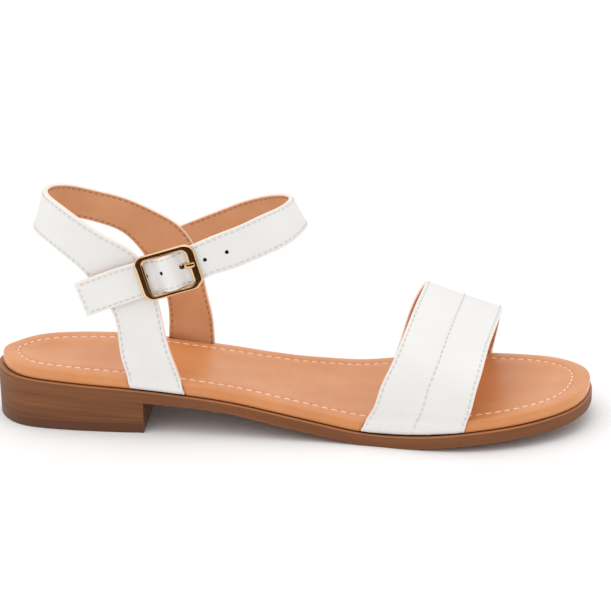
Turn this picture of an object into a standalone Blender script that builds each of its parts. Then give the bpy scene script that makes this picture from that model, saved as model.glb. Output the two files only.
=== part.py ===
"""Ankle strap sandal, a right shoe, built as the pieces that a maker puts together.

The toe points along +X, the outer (lateral) side is -Y and the sole stands on z = 0.
Sizes below are millimetres, measured from the back of the outsole, from its middle line
and from the floor. The last step centres the sandal over the origin and leaves it in metres.
"""

import math

import bmesh
import bpy
import numpy as np
from mathutils import Matrix, Vector

MM = 0.001
GAP = 0.3            # clear space between pieces that touch on the real shoe

# Sole
SOLE_LENGTH = 249.0
OUTSOLE_THICKNESS = 5.1
OUTSOLE_EDGE = 0.6   # rounding of the outsole's edges
SHANK_THINNING = (95.0, 32.0, 0.7)  # it is skived here: its middle, half length and depth
FOOTBED_THICKNESS = 4.8
FOOTBED_INSET = 1.4  # the footbed stands this far inside the outsole's lip
FOOTBED_RIM = 1.5    # rounding of the wrapped rim
FOOTBED_DISH = 0.9   # hollow of the footbed under heel and ball
BREAST_X = 64.5      # front face of the heel
HEEL_INSET = 0.2
HEEL_TAPER = 0.5
TOP_LIFT_HEIGHT = 4.0

# Straps
STRAP_WALL = 2.0     # leather, reinforcement and lining together
ANKLE_WALL = 1.8
MARGIN_WALL = 1.4    # skived margin that is turned in under the footbed
MARGIN_LENGTH = 12.0
BOW_HEIGHT = 34.0    # height over the sole up to which a strap takes the sole's curve

# Buckle, in its own frame: along the strap, across it, and outward
BUCKLE_CENTRE = (76.8, -30.6, 70.1)
BUCKLE_RISE = math.radians(16.8)
BUCKLE_LEAN = math.radians(2.5)
BUCKLE_LENGTH = 25.4
BUCKLE_HEIGHT = 18.9
SIDE_BAR = 3.8
RAIL = 2.0
FRAME_DEPTH = 2.2
FRAME_LIFT = 1.9     # height of the frame's middle over the centre bar's axis
BUCKLE_CORNER = 4.2
CENTRE_BAR_RADIUS = 0.5
STRAP_SINK = -0.4    # level of the strap's middle where it runs under the side bars
STRAP_RISE = 3.4     # how far it climbs over the centre bar
RISE_REACH = 6.6     # distance from the bar at which it is level again
HOLES = (-9.4, -2.1, 15.5, 24.3)  # the free holes' distances from the centre bar
HOLE_RADIUS = 0.85
HOLE_LEVEL = 0.8     # the holes' line lies this far above the buckle's middle
PRONG_RADIUS = 0.5   # half its thickness
PRONG_SPREAD = 1.8   # it is flattened: its width over its thickness
PRONG_SLOT = (4.1, 2.4, 9.0)  # the worn hole that the prong passes: along, across, deep
PRONG_HOLE = 6.85    # distance of its hole from the centre bar
PRONG_SLANT = 0.14   # its rise across the frame, per mm along
TAB_WALL = 0.6
TAB_WIDTH = 9.0
TAB_SLOT = (6.4, 2.6, 8.0)       # opening in the tab that the prong turns in
TAB_SLOT_AT = 0.6

# Mesh fineness
OUTLINE_POINTS = 88
HEEL_POINTS = 34
TOE_STRAP_SECTIONS = 42
REAR_STRAP_SECTIONS = 60
ANKLE_STRAP_SECTIONS = 54

# Sole outline: distance from the heel back, half widths to the outer and the inner side
OUTLINE = [
    # x, lateral, medial
    (3.0, 11.8, 8.8),
    (12.0, 22.4, 19.4),
    (28.0, 27.2, 26.7),
    (50.0, 29.4, 30.3),
    (85.0, 30.8, 28.5),
    (120.0, 34.9, 28.9),
    (155.0, 39.6, 40.6),
    (185.0, 45.2, 45.8),
    (212.0, 42.3, 39.6),
    (232.0, 31.8, 32.2),
    (245.0, 15.6, 19.4),
]
HEEL_BACK_Y = 0.0
TOE_TIP_Y = 4.8

SOLE_MIDDLE = [
    # x, y of the line that the sole's faces are drawn in to
    (24.0, 0.0),
    (110.0, -2.5),
    (185.0, 1.0),
    (217.0, 2.5),
]

# Height of the outsole's upper face over the floor: heel, arch, ball and toe spring
SOLE_TOP = [
    # x, height
    (0.0, 21.6),
    (20.0, 20.8),
    (40.0, 19.7),
    (62.0, 18.3),
    (80.0, 16.5),
    (100.0, 14.3),
    (120.0, 10.9),
    (140.0, 7.2),
    (152.0, 5.3),
    (165.0, 4.9),
    (180.0, 5.8),
    (200.0, 7.9),
    (225.0, 9.8),
    (249.0, 11.6),
]

# Each strap is a band between two edges. A row is one section across it, on the middle
# of its wall, and the rows run along the strap.
TOE_STRAP = [
    # back x, y, z, front x, y, z
    (157.3, -37.4, 12.0, 197.3, -43.6, 13.0),
    (159.5, -37.9, 16.2, 198.7, -43.8, 17.2),
    (162.0, -37.0, 23.6, 200.4, -42.2, 23.9),
    (165.9, -33.5, 31.6, 202.6, -37.2, 30.4),
    (169.6, -27.0, 39.0, 204.9, -28.0, 36.6),
    (173.0, -17.5, 46.0, 207.0, -17.0, 39.6),
    (176.2, -5.0, 51.0, 209.2, -4.5, 41.4),
    (178.6, 8.0, 53.0, 210.8, 8.0, 41.6),
    (178.6, 19.0, 50.9, 211.3, 20.0, 39.5),
    (176.3, 27.5, 45.2, 211.0, 30.5, 35.3),
    (172.5, 34.0, 35.2, 210.2, 37.5, 27.6),
    (169.2, 38.2, 23.5, 208.9, 42.0, 19.8),
    (167.2, 39.6, 16.2, 208.0, 43.0, 14.8),
]

REAR_STRAP = [
    # lower x, y, z, upper x, y, z
    (58.0, -27.8, 24.6, 80.2, -28.2, 22.6),
    (56.2, -27.8, 31.5, 77.6, -28.7, 30.9),
    (54.9, -27.5, 42.0, 74.6, -28.7, 42.0),
    (53.2, -27.3, 50.5, 72.6, -28.2, 53.0),
    (49.2, -26.7, 58.6, 69.0, -27.2, 65.0),
    (44.2, -25.8, 65.0, 62.5, -26.1, 76.2),
    (37.8, -24.2, 70.7, 52.7, -25.3, 82.0),
    (31.4, -21.2, 75.0, 42.0, -24.0, 88.4),
    (25.0, -15.8, 78.2, 31.9, -19.3, 94.2),
    (20.0, -8.5, 79.5, 25.2, -10.5, 96.2),
    (18.0, 0.5, 79.6, 23.0, 0.5, 96.0),
    (19.6, 9.5, 79.3, 25.0, 11.0, 94.6),
    (24.5, 16.8, 78.4, 31.0, 18.6, 92.3),
    (32.0, 21.3, 77.2, 40.5, 23.6, 88.7),
    (41.1, 24.4, 74.1, 52.0, 26.0, 84.9),
    (50.5, 26.5, 69.4, 64.0, 27.0, 79.2),
    (58.2, 27.3, 60.8, 74.2, 27.3, 72.9),
    (65.0, 27.9, 49.5, 81.9, 27.9, 60.5),
    (68.3, 28.2, 39.5, 85.4, 28.1, 43.6),
    (68.9, 28.4, 30.1, 87.9, 28.3, 30.6),
    (68.7, 28.3, 23.6, 88.5, 27.9, 22.0),
]

# The ankle strap's own half, from its seam on the inner side to the buckle. The rest of it
# is worked out in the buckle's frame.
ANKLE_STRAP = [
    # lower x, y, z, upper x, y, z
    (73.0, 27.7, 56.4, 68.0, 27.2, 69.6),
    (82.0, 28.1, 60.2, 76.5, 27.3, 73.4),
    (90.6, 27.9, 63.6, 85.2, 26.7, 77.2),
    (99.6, 26.9, 67.2, 94.4, 25.4, 81.3),
    (108.4, 24.4, 71.0, 103.0, 22.9, 85.2),
    (117.0, 20.2, 74.8, 111.4, 18.7, 88.5),
    (124.2, 13.8, 77.9, 118.2, 13.0, 90.9),
    (129.2, 5.6, 80.1, 122.9, 5.4, 92.4),
    (130.1, -3.2, 80.9, 123.2, -3.0, 92.6),
    (127.2, -11.8, 79.4, 119.6, -10.6, 91.8),
    (120.4, -19.2, 76.6, 112.9, -17.6, 90.3),
    (111.0, -25.2, 73.8, 104.6, -23.4, 87.6),
    (101.4, -28.8, 70.7, 96.6, -27.0, 85.2),
]

# The same strap at the buckle: along it from the centre bar, and its lower and upper edge
ANKLE_STRAP_AT_BUCKLE = [
    # along, lower, upper
    (14.5, -6.3, 8.3),
    (10.6, -6.4, 7.8),
    (0.0, -6.7, 7.0),
    (-10.6, -7.1, 7.1),
    (-15.0, -7.5, 7.2),
]
FREE_END = (42.8, -29.0, 50.3, 37.7, -28.8, 64.0)

# Profiles of the two pieces at the centre bar, in the buckle's frame
PRONG_ARM = [
    # along, outward: from under the bar up through the strap's slot
    (2.2, -1.3),
    (4.2, -1.65),
    (5.1, -1.6),
    (5.8, -0.9),
    (6.5, 0.5),
    (7.3, 2.1),
]
TAB_LEG = [
    # along, outward: from its sewn end to the bar
    (-24.0, -2.35),
    (-14.0, -2.2),
    (-7.0, -2.0),
    (-3.0, -1.7),
]

COLOURS = {
    # linear RGB, roughness, metallic
    "outsole_leather": ((0.195, 0.080, 0.035), 0.55, 0.0),
    "stacked_leather": ((0.215, 0.092, 0.042), 0.5, 0.0),
    "heel_rubber": ((0.120, 0.055, 0.028), 0.7, 0.0),
    "tan_leather": ((0.700, 0.330, 0.165), 0.55, 0.0),
    "white_leather": ((0.880, 0.860, 0.850), 0.5, 0.0),
    "gilt_brass": ((0.850, 0.640, 0.360), 0.25, 1.0),
}


def clear_scene():
    for item in list(bpy.data.objects):
        bpy.data.objects.remove(item, do_unlink=True)


def finish_material(name):
    colour, roughness, metallic = COLOURS[name]
    material = bpy.data.materials.get(name) or bpy.data.materials.new(name)
    material.use_nodes = True
    shader = material.node_tree.nodes["Principled BSDF"]
    shader.inputs["Base Color"].default_value = (*colour, 1.0)
    shader.inputs["Roughness"].default_value = roughness
    shader.inputs["Metallic"].default_value = metallic
    return material


def solid(name, vertices, faces, material_name):
    """One closed object from points in millimetres, its faces turned outward."""
    mesh = bpy.data.meshes.new(name)
    mesh.from_pydata([tuple(float(c) * MM for c in v) for v in vertices], [], faces)
    shape = bmesh.new()
    shape.from_mesh(mesh)
    bmesh.ops.recalc_face_normals(shape, faces=shape.faces)
    if shape.calc_volume(signed=True) < 0.0:
        bmesh.ops.reverse_faces(shape, faces=shape.faces)
    shape.to_mesh(mesh)
    shape.free()
    mesh.shade_smooth()
    mesh.set_sharp_from_angle(angle=math.radians(35.0))
    item = bpy.data.objects.new(name, mesh)
    mesh.materials.append(finish_material(material_name))
    bpy.context.scene.collection.objects.link(item)
    return item


def cubic(knots, values, at):
    """Natural cubic curve through the table's values, read at the given places."""
    knots, values = np.asarray(knots, float), np.asarray(values, float)
    count, step = len(knots), np.diff(knots)
    system, right = np.eye(count), np.zeros(values.shape)
    for i in range(1, count - 1):
        system[i, i - 1:i + 2] = step[i - 1], 2.0 * (step[i - 1] + step[i]), step[i]
        slope = (values[i + 1] - values[i]) / step[i] - (values[i] - values[i - 1]) / step[i - 1]
        right[i] = 6.0 * slope
    bend = np.linalg.solve(system, right)
    i = np.clip(np.searchsorted(knots, at) - 1, 0, count - 2)
    h = step[i]
    a, b = (knots[i + 1] - at) / h, (at - knots[i]) / h
    if values.ndim > 1:
        a, b, h = a[:, None], b[:, None], h[:, None]
    curve = a * values[i] + b * values[i + 1]
    return curve + ((a ** 3 - a) * bend[i] + (b ** 3 - b) * bend[i + 1]) * h ** 2 / 6.0


def sole_top(x):
    table = np.array(SOLE_TOP)
    return cubic(table[:, 0], table[:, 1], np.clip(x, 0.0, SOLE_LENGTH))


def sole_under(x):
    middle, reach, depth = SHANK_THINNING
    near = np.clip(np.abs(x - middle) / reach, 0.0, 1.0)
    thickness = OUTSOLE_THICKNESS - depth * np.cos(near * math.pi / 2.0) ** 2
    return np.maximum(sole_top(x) - thickness, 0.0)


def outline(angles, inset=0.0):
    """Points of the sole's plan at angles from -180 (toe, outer side) over 0 (heel) to 180."""
    table = np.array(OUTLINE)
    turn = np.arccos(1.0 - 2.0 * table[:, 0] / SOLE_LENGTH)
    places = np.concatenate([[-math.pi], -turn[::-1], [0.0], turn])
    sides = np.concatenate([[TOE_TIP_Y], -table[::-1, 1], [HEEL_BACK_Y], table[:, 2]])
    places = np.concatenate([places - 2.0 * math.pi, places, places + 2.0 * math.pi])
    sides = np.tile(sides, 3)

    def place(angle):
        x = SOLE_LENGTH / 2.0 * (1.0 - np.cos(angle))
        return np.column_stack([x, cubic(places, sides, angle)])

    tangent = place(angles + 0.01) - place(angles - 0.01)
    tangent /= np.linalg.norm(tangent, axis=1)[:, None]
    inward = np.column_stack([tangent[:, 1], -tangent[:, 0]])
    return place(angles) + inset * inward


def outline_angles():
    """Half steps, so that the points pair off across the sole and close its faces."""
    step = 2.0 * math.pi / OUTLINE_POINTS
    return -math.pi + (np.arange(OUTLINE_POINTS) + 0.5) * step


def side_y(x, side, inset=0.0):
    """Edge of the sole at a station: side -1 is the outer one, 1 the inner one."""
    angle = side * np.arccos(1.0 - 2.0 * np.atleast_1d(float(x)) / SOLE_LENGTH)
    return float(outline(angle, inset)[0, 1])


def drawn_in(points, share):
    """Points moved toward the sole's middle line, to this share of their distance."""
    line = np.array(SOLE_MIDDLE)
    middle_x = np.clip(points[:, 0], line[0, 0], line[-1, 0])
    middle = np.column_stack([middle_x, np.interp(middle_x, line[:, 0], line[:, 1])])
    return middle + share * (points - middle)


def stack(name, rings, material_name):
    """Closed solid through equal rings of points, capped by faces between mirror pairs."""
    count = len(rings[0])
    vertices = np.concatenate(rings)
    faces = []
    for level in range(len(rings) - 1):
        low = level * count
        for i in range(count):
            j = (i + 1) % count
            faces.append((low + i, low + j, low + count + j, low + count + i))
    top = (len(rings) - 1) * count
    for i in range(count // 2 - 1):
        faces.append((i, i + 1, count - 2 - i, count - 1 - i))
        faces.append((top + i, top + i + 1, top + count - 2 - i, top + count - 1 - i))
    return solid(name, vertices, faces, material_name)


def ring(points, height):
    heights = height(points[:, 0]) if callable(height) else np.full(len(points), height)
    return np.column_stack([points, heights])


def make_outsole():
    angles, edge = outline_angles(), OUTSOLE_EDGE
    inner = outline(angles, 4.0)
    rings = [
        ring(drawn_in(inner, 0.12), sole_under),
        ring(drawn_in(inner, 0.6), sole_under),
        ring(inner, sole_under),
        ring(outline(angles, edge), sole_under),
        ring(outline(angles), lambda x: sole_under(x) + edge),
        ring(outline(angles), lambda x: sole_top(x) - edge),
        ring(outline(angles, edge), sole_top),
        ring(inner, sole_top),
        ring(drawn_in(inner, 0.6), sole_top),
        ring(drawn_in(inner, 0.12), sole_top),
    ]
    return stack("outsole", rings, "outsole_leather")


def footbed_ring(angles, inset, height, share=1.0):
    points = drawn_in(outline(angles, FOOTBED_INSET + inset), share)
    return ring(points, lambda x: sole_top(x) + GAP + height)


def make_footbed():
    angles, rim, thick = outline_angles(), FOOTBED_RIM, FOOTBED_THICKNESS
    rings = [footbed_ring(angles, 4.0, 0.0, share) for share in (0.12, 0.6, 1.0)]
    rings.append(footbed_ring(angles, 0.4, 0.0))
    rings.append(footbed_ring(angles, 0.0, 0.5))
    for turn in (0.0, 30.0, 60.0, 90.0):
        turn = math.radians(turn)
        inset, height = rim * (1.0 - math.cos(turn)), thick - rim * (1.0 - math.sin(turn))
        rings.append(footbed_ring(angles, inset, height))
    rings.append(footbed_ring(angles, 7.0, thick - 0.2))
    for share, dish in ((0.8, 0.6), (0.45, 1.0), (0.12, 1.0)):
        rings.append(footbed_ring(angles, 7.0, thick - FOOTBED_DISH * dish, share))
    return stack("footbed", rings, "tan_leather")


def heel_outline(inset):
    """U of the heel from its breast, round the back and to the breast again."""
    turn = math.acos(1.0 - 2.0 * BREAST_X / SOLE_LENGTH)
    points = outline(np.linspace(-turn, turn, HEEL_POINTS), inset)
    points[[0, -1], 0] = BREAST_X
    return points


def make_heel_block():
    foot = TOP_LIFT_HEIGHT + GAP
    lower = heel_outline(HEEL_INSET + HEEL_TAPER * 0.7)
    upper = heel_outline(HEEL_INSET)
    rings = [
        ring(drawn_in(lower, 0.5), foot),
        ring(lower, foot),
        ring(upper, lambda x: sole_under(x) - GAP),
        ring(drawn_in(upper, 0.5), lambda x: sole_under(x) - GAP),
    ]
    for level in rings[0], rings[-1]:
        level[[0, -1], 0] = BREAST_X
    return stack("heel_block", rings, "stacked_leather")


def make_top_lift():
    outer, inner = heel_outline(HEEL_INSET + HEEL_TAPER), heel_outline(HEEL_INSET + HEEL_TAPER + 0.4)
    rings = [ring(inner, 0.0), ring(outer, 0.4), ring(outer, TOP_LIFT_HEIGHT)]
    return stack("top_lift", rings, "heel_rubber")


def bow(grid, edges):
    """Bulge between a strap's edges, so that low down it follows the curve of the sole."""
    side = np.where(grid[..., 1] < 0.0, -1.0, 1.0)
    level = np.clip((grid[..., 2] - sole_top(grid[..., 0].ravel()).reshape(side.shape)), 0.0, None)
    fade = np.clip(1.0 - level / BOW_HEIGHT, 0.0, 1.0) ** 2

    def half_width(x):
        angles = side.ravel() * np.arccos(1.0 - 2.0 * x.ravel() / SOLE_LENGTH)
        return np.abs(outline(angles)[:, 1]).reshape(side.shape)

    low, high = (np.broadcast_to(edges[:, None, k], side.shape) for k in (0, 3))
    span = high - low
    share = (grid[..., 0] - low) / np.where(np.abs(span) < 1.0, 1.0, span)
    straight = half_width(low) * (1.0 - share) + half_width(high) * share
    return side * (half_width(grid[..., 0]) - straight) * fade


def band_grid(rows, walls, stations, across):
    """Middle surface of a strap, its outward normals and its wall, as grids of points."""
    rows = np.asarray(rows, float)
    middle = (rows[:, :3] + rows[:, 3:]) / 2.0
    reach = np.concatenate([[0.0], np.cumsum(np.linalg.norm(np.diff(middle, axis=0), axis=1))])
    at = np.interp(stations, np.linspace(0.0, 1.0, len(reach)), reach)
    edges = cubic(reach, rows, at)
    share = np.asarray(across)[None, :, None]
    grid = edges[:, None, :3] * (1.0 - share) + edges[:, None, 3:] * share
    grid[..., 1] += bow(grid, edges)
    wall = np.interp(at, reach, walls)
    normal = np.cross(edges[:, None, 3:] - edges[:, None, :3], np.gradient(grid, axis=0))
    normal /= np.linalg.norm(normal, axis=2)[..., None]
    return grid, normal, wall


def band(name, rows, walls, material_name, sections, grow=0.0, lift=None):
    """Strap as a closed solid. grow makes a larger one, to cut a seat with room around it."""
    across = (0.0, 0.04, 0.28, 0.5, 0.72, 0.96, 1.0)
    thinner = np.array((0.6, 1.0, 1.0, 1.0, 1.0, 1.0, 0.6))
    grid, normal, wall = band_grid(rows, walls, np.linspace(0.0, 1.0, sections), across)
    if grow:
        side = grid[:, -1] - grid[:, 0]
        side /= np.linalg.norm(side, axis=1)[:, None]
        grid[:, 0] -= grow * side
        grid[:, -1] += grow * side
        ends = (grid[0] - grid[1], grid[-1] - grid[-2])
        for row, way in zip((0, -1), ends):
            grid[row] += grow * way / np.linalg.norm(way, axis=1)[:, None]
        thinner = np.ones(len(across))
    if lift is not None:
        grid = grid + normal * lift(grid)[..., None]
    half = (wall[:, None] * thinner[None, :] / 2.0 + grow)[..., None] * normal
    outer, inner = grid + half, grid - half
    loop = np.concatenate([outer, inner[:, ::-1]], axis=1)
    rings = len(loop)
    count = loop.shape[1]
    faces = []
    for i in range(rings - 1):
        for j in range(count):
            k = (j + 1) % count
            faces.append((i * count + j, i * count + k, (i + 1) * count + k, (i + 1) * count + j))
    for start in 0, (rings - 1) * count:
        for j in range(count // 2 - 1):
            faces.append((start + j, start + j + 1, start + count - 2 - j, start + count - 1 - j))
    return solid(name, loop.reshape(-1, 3), faces, material_name)


def with_margins(rows):
    """Rows with the strap's ends turned in under the footbed, and the wall at each row."""
    rows = [list(row) for row in rows]
    rise = GAP + MARGIN_WALL / 2.0

    def turned(row, following, inward, up):
        """One section of the margin, measured in from the footbed's side at each edge."""
        section = []
        for k in (0, 3):
            x, y, z = row[k:k + 3]
            lean = (following[k] - x) / (following[k + 2] - z)
            x -= lean * (z - float(sole_top(np.array([x]))[0]) - up)
            side = -1.0 if y < 0.0 else 1.0
            edge = abs(side_y(x, side, FOOTBED_INSET))
            section += [x, side * (edge - inward), float(sole_top(np.array([x]))[0]) + up]
        return section

    turns = ((MARGIN_LENGTH, rise), (3.2, rise), (0.3, rise + 0.35), (-0.5, rise + 2.0))
    start = [turned(rows[0], rows[1], inward, up) for inward, up in turns]
    end = [turned(rows[-1], rows[-2], inward, up) for inward, up in turns[::-1]]
    walls = [MARGIN_WALL] * 3 + [1.8] + [STRAP_WALL] * len(rows) + [1.8] + [MARGIN_WALL] * 3
    return start + rows + end, walls


def buckle_frame_matrix():
    """The buckle's own axes: along the strap to the toe, up across it, and outward."""
    along = Vector((math.cos(BUCKLE_RISE), 0.0, math.sin(BUCKLE_RISE)))
    outward = Vector((0.0, -math.cos(BUCKLE_LEAN), math.sin(BUCKLE_LEAN)))
    across = outward.cross(along).normalized()
    outward = along.cross(across).normalized()
    matrix = Matrix((along, across, outward)).transposed().to_4x4()
    matrix.translation = Vector(BUCKLE_CENTRE)
    return matrix


def at_buckle(points):
    """World places of points given along, across and outward at the buckle."""
    matrix = buckle_frame_matrix()
    return np.array([tuple(matrix @ Vector(p)) for p in points])


def ankle_rows():
    """The ankle strap's sections, through the buckle and on to the free end."""
    rows = [list(row) for row in ANKLE_STRAP]
    for along, lower, upper in ANKLE_STRAP_AT_BUCKLE:
        pair = at_buckle([(along, lower, STRAP_SINK), (along, upper, STRAP_SINK)])
        rows.append([*pair[0], *pair[1]])
    return rows + [list(FREE_END)]


def climb(grid):
    """How far the strap is lifted where it passes over the centre bar."""
    inverse = buckle_frame_matrix().inverted()
    along = np.array([[(inverse @ Vector(p)).x for p in row] for row in grid])
    outer_side = grid[..., 1] < 0.0
    near = np.clip(np.abs(along) / RISE_REACH, 0.0, 1.0)
    return np.where(outer_side, STRAP_RISE * np.cos(near * math.pi / 2.0) ** 2, 0.0)


def placed(name, shape, matrix):
    """Object of a bmesh that is set by a matrix in millimetres."""
    mesh = bpy.data.meshes.new(name)
    shape.to_mesh(mesh)
    shape.free()
    mesh.transform(Matrix.Scale(MM, 4) @ matrix)
    item = bpy.data.objects.new(name, mesh)
    bpy.context.scene.collection.objects.link(item)
    return item


def round_cutter(name, matrix, radius, depth):
    shape = bmesh.new()
    bmesh.ops.create_cone(shape, cap_ends=True, segments=12, radius1=radius, radius2=radius,
                          depth=depth)
    return placed(name, shape, matrix)


def box_cutter(name, matrix, size):
    shape = bmesh.new()
    bmesh.ops.create_cube(shape, size=1.0)
    return placed(name, shape, matrix @ Matrix.Diagonal((*size, 1.0)))


def combine(target, tools, operation):
    """Applies each tool to the target with the exact solver, then removes the tool."""
    for tool in tools:
        tool.hide_render = True
        tool.display_type = "WIRE"
        step = target.modifiers.new(operation.lower(), "BOOLEAN")
        step.operation = operation
        step.solver = "EXACT"
        step.object = tool
        shaped = bpy.data.meshes.new_from_object(
            target.evaluated_get(bpy.context.evaluated_depsgraph_get()))
        target.modifiers.remove(step)
        target.data = shaped
        bpy.data.objects.remove(tool, do_unlink=True)
    shape = bmesh.new()
    shape.from_mesh(target.data)
    bmesh.ops.remove_doubles(shape, verts=shape.verts, dist=0.00001)
    bmesh.ops.dissolve_degenerate(shape, edges=shape.edges, dist=0.00001)
    shape.to_mesh(target.data)
    shape.free()
    target.data.shade_smooth()
    target.data.set_sharp_from_angle(angle=math.radians(35.0))


def make_toe_strap():
    rows, walls = with_margins(TOE_STRAP)
    return band("toe_strap", rows, walls, "white_leather", TOE_STRAP_SECTIONS)


def make_ankle_upper():
    """Heel strap and ankle strap, sewn to each other on the inner side, as one upper."""
    rows, walls = with_margins(REAR_STRAP)
    upper = band("ankle_upper", rows, walls, "white_leather", REAR_STRAP_SECTIONS)
    rows = ankle_rows()
    strap = band("ankle_strap", rows, [ANKLE_WALL] * len(rows), "white_leather",
                 ANKLE_STRAP_SECTIONS, lift=climb)
    frame = buckle_frame_matrix()
    holes = []
    for along in HOLES:
        place = Matrix.Translation((along, HOLE_LEVEL, 0.0))
        holes.append(round_cutter("hole", frame @ place, HOLE_RADIUS, 12.0))
    slot = Matrix.Translation((PRONG_HOLE, HOLE_LEVEL, 0.0))
    holes.append(box_cutter("slot", frame @ slot, PRONG_SLOT))
    combine(strap, holes, "DIFFERENCE")
    combine(upper, [strap], "UNION")
    return upper


def cut_seats(footbed):
    """Channels in the footbed's underside and edge for the straps' turned-in margins."""
    tools = []
    for table, count in ((TOE_STRAP, TOE_STRAP_SECTIONS), (REAR_STRAP, REAR_STRAP_SECTIONS)):
        rows, walls = with_margins(table)
        tools.append(band("seat", rows, walls, "tan_leather", count, grow=GAP))
    combine(footbed, tools, "DIFFERENCE")


def rounded_frame_path(length, height, corner, steps=5):
    """Closed middle line of the frame with round corners, counted from the right side up."""
    points = []
    for sx, sy, start in ((1, 1, 0), (-1, 1, 90), (-1, -1, 180), (1, -1, 270)):
        centre = (sx * (length / 2.0 - corner), sy * (height / 2.0 - corner))
        for i in range(steps + 1):
            angle = math.radians(start + 90.0 * i / steps)
            points.append((centre[0] + corner * math.cos(angle),
                           centre[1] + corner * math.sin(angle)))
    return points


def make_buckle_frame():
    """Brass frame with broad side bars and narrow rails, and the centre bar that joins them."""
    outer = rounded_frame_path(BUCKLE_LENGTH, BUCKLE_HEIGHT, BUCKLE_CORNER)
    inner = rounded_frame_path(BUCKLE_LENGTH - 2.0 * SIDE_BAR, BUCKLE_HEIGHT - 2.0 * RAIL,
                               BUCKLE_CORNER - RAIL)
    half, bevel = FRAME_DEPTH / 2.0, 0.5
    profile = ((0.0, -half), (0.0, half - bevel), (0.16, half), (0.84, half), (1.0, half - bevel),
               (1.0, -half))
    points, faces, count = [], [], len(profile)
    for (ox, oy), (ix, iy) in zip(outer, inner):
        for share, height in profile:
            points.append((ox + share * (ix - ox), oy + share * (iy - oy), FRAME_LIFT + height))
    for i in range(len(outer)):
        j = (i + 1) % len(outer)
        for k in range(count):
            m = (k + 1) % count
            faces.append((i * count + k, i * count + m, j * count + m, j * count + k))
    frame = solid("buckle_frame", at_buckle(points), faces, "gilt_brass")
    span = BUCKLE_HEIGHT / 2.0 - RAIL
    half_bar = [(span + 1.0, FRAME_LIFT), (span + 0.5, 0.6), (span - 0.6, 0.0)]
    post = [(0.0, -y, z) for y, z in half_bar] + [(0.0, y, z) for y, z in half_bar[::-1]]
    bar = tube("centre_bar", post, CENTRE_BAR_RADIUS, 8, "gilt_brass")
    combine(frame, [bar], "UNION")
    return frame


def tube(name, path, radius, sides, material_name, spread=1.0):
    """Bar along a path given in the buckle's frame, with flat ends. spread widens it."""
    path = np.array(path, float)
    points, faces = [], []
    tangents = np.gradient(path, axis=0)
    reference = np.array((1.0, 0.0, 0.0)) if abs(tangents[0][1]) > 0.5 else np.array((0.0, 1.0, 0.0))
    radii = np.broadcast_to(np.asarray(radius, float), (len(path),))
    for place, tangent, size in zip(path, tangents, radii):
        tangent = tangent / np.linalg.norm(tangent)
        second = np.cross(tangent, reference)
        second /= np.linalg.norm(second)
        first = np.cross(second, tangent)
        for i in range(sides):
            angle = 2.0 * math.pi * i / sides
            points.append(place + size * (spread * math.cos(angle) * first + math.sin(angle) * second))
    for i in range(len(path) - 1):
        for j in range(sides):
            k = (j + 1) % sides
            faces.append((i * sides + j, i * sides + k, (i + 1) * sides + k, (i + 1) * sides + j))
    faces.append(tuple(range(sides)))
    faces.append(tuple((len(path) - 1) * sides + i for i in range(sides)))
    return solid(name, at_buckle(points), faces, material_name)


def make_buckle_prong():
    """Wire that hooks round the centre bar, passes up the strap's hole and rests on the bar."""
    reach = CENTRE_BAR_RADIUS + 0.2 + PRONG_RADIUS
    path = []
    for degrees in range(100, 316, 24):
        angle = math.radians(degrees)
        path.append((reach * math.cos(angle), 0.0, reach * math.sin(angle)))
    rest = FRAME_LIFT + FRAME_DEPTH / 2.0 + GAP + PRONG_RADIUS
    arm = [*PRONG_ARM, (8.2, rest - 0.3), (9.2, rest), (10.4, rest), (10.9, rest)]
    start = PRONG_ARM[0][0]
    path += [(along, min(PRONG_SLANT * (along - start), HOLE_LEVEL), out) for along, out in arm]
    radii = [PRONG_RADIUS] * (len(path) - 1) + [PRONG_RADIUS * 0.6]
    return tube("buckle_prong", path, radii, 10, "gilt_brass", PRONG_SPREAD)


def make_buckle_tab():
    """Leather strip sewn to the heel strap that folds round the centre bar."""
    wrap = CENTRE_BAR_RADIUS + 0.2 + TAB_WALL / 2.0
    path = list(TAB_LEG)
    for degrees in range(260, 486, 25):
        angle = math.radians(degrees)
        path.append((wrap * math.cos(angle), wrap * math.sin(angle)))
    path = np.array([*path, (-2.2, 0.0)])
    tangent = np.gradient(path, axis=0)
    tangent /= np.linalg.norm(tangent, axis=1)[:, None]
    side = np.column_stack([-tangent[:, 1], tangent[:, 0]]) * TAB_WALL / 2.0
    points, faces = [], []
    for (a, n), (da, dn) in zip(path, side):
        for sign, across in ((1, -1), (1, 1), (-1, 1), (-1, -1)):
            points.append((a + sign * da, across * TAB_WIDTH / 2.0, n + sign * dn))
    for i in range(len(path) - 1):
        for j in range(4):
            k = (j + 1) % 4
            faces.append((i * 4 + j, i * 4 + k, (i + 1) * 4 + k, (i + 1) * 4 + j))
    last = (len(path) - 1) * 4
    faces += [(0, 1, 2, 3), (last, last + 1, last + 2, last + 3)]
    tab = solid("buckle_tab", at_buckle(points), faces, "white_leather")
    slot = Matrix.Translation((TAB_SLOT_AT, 0.0, 0.0))
    combine(tab, [box_cutter("prong_slot", buckle_frame_matrix() @ slot, TAB_SLOT)], "DIFFERENCE")
    return tab


def centre_on_floor(items):
    """Hangs every piece from one empty and moves it so that the box's foot is the origin."""
    corners = np.array([tuple(v.co) for item in items for v in item.data.vertices])
    low, high = corners.min(axis=0), corners.max(axis=0)
    root = bpy.data.objects.new("sandal", None)
    bpy.context.scene.collection.objects.link(root)
    root.location = (-(low[0] + high[0]) / 2.0, -(low[1] + high[1]) / 2.0, -low[2])
    for item in items:
        item.parent = root
    bpy.context.view_layer.update()


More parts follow.
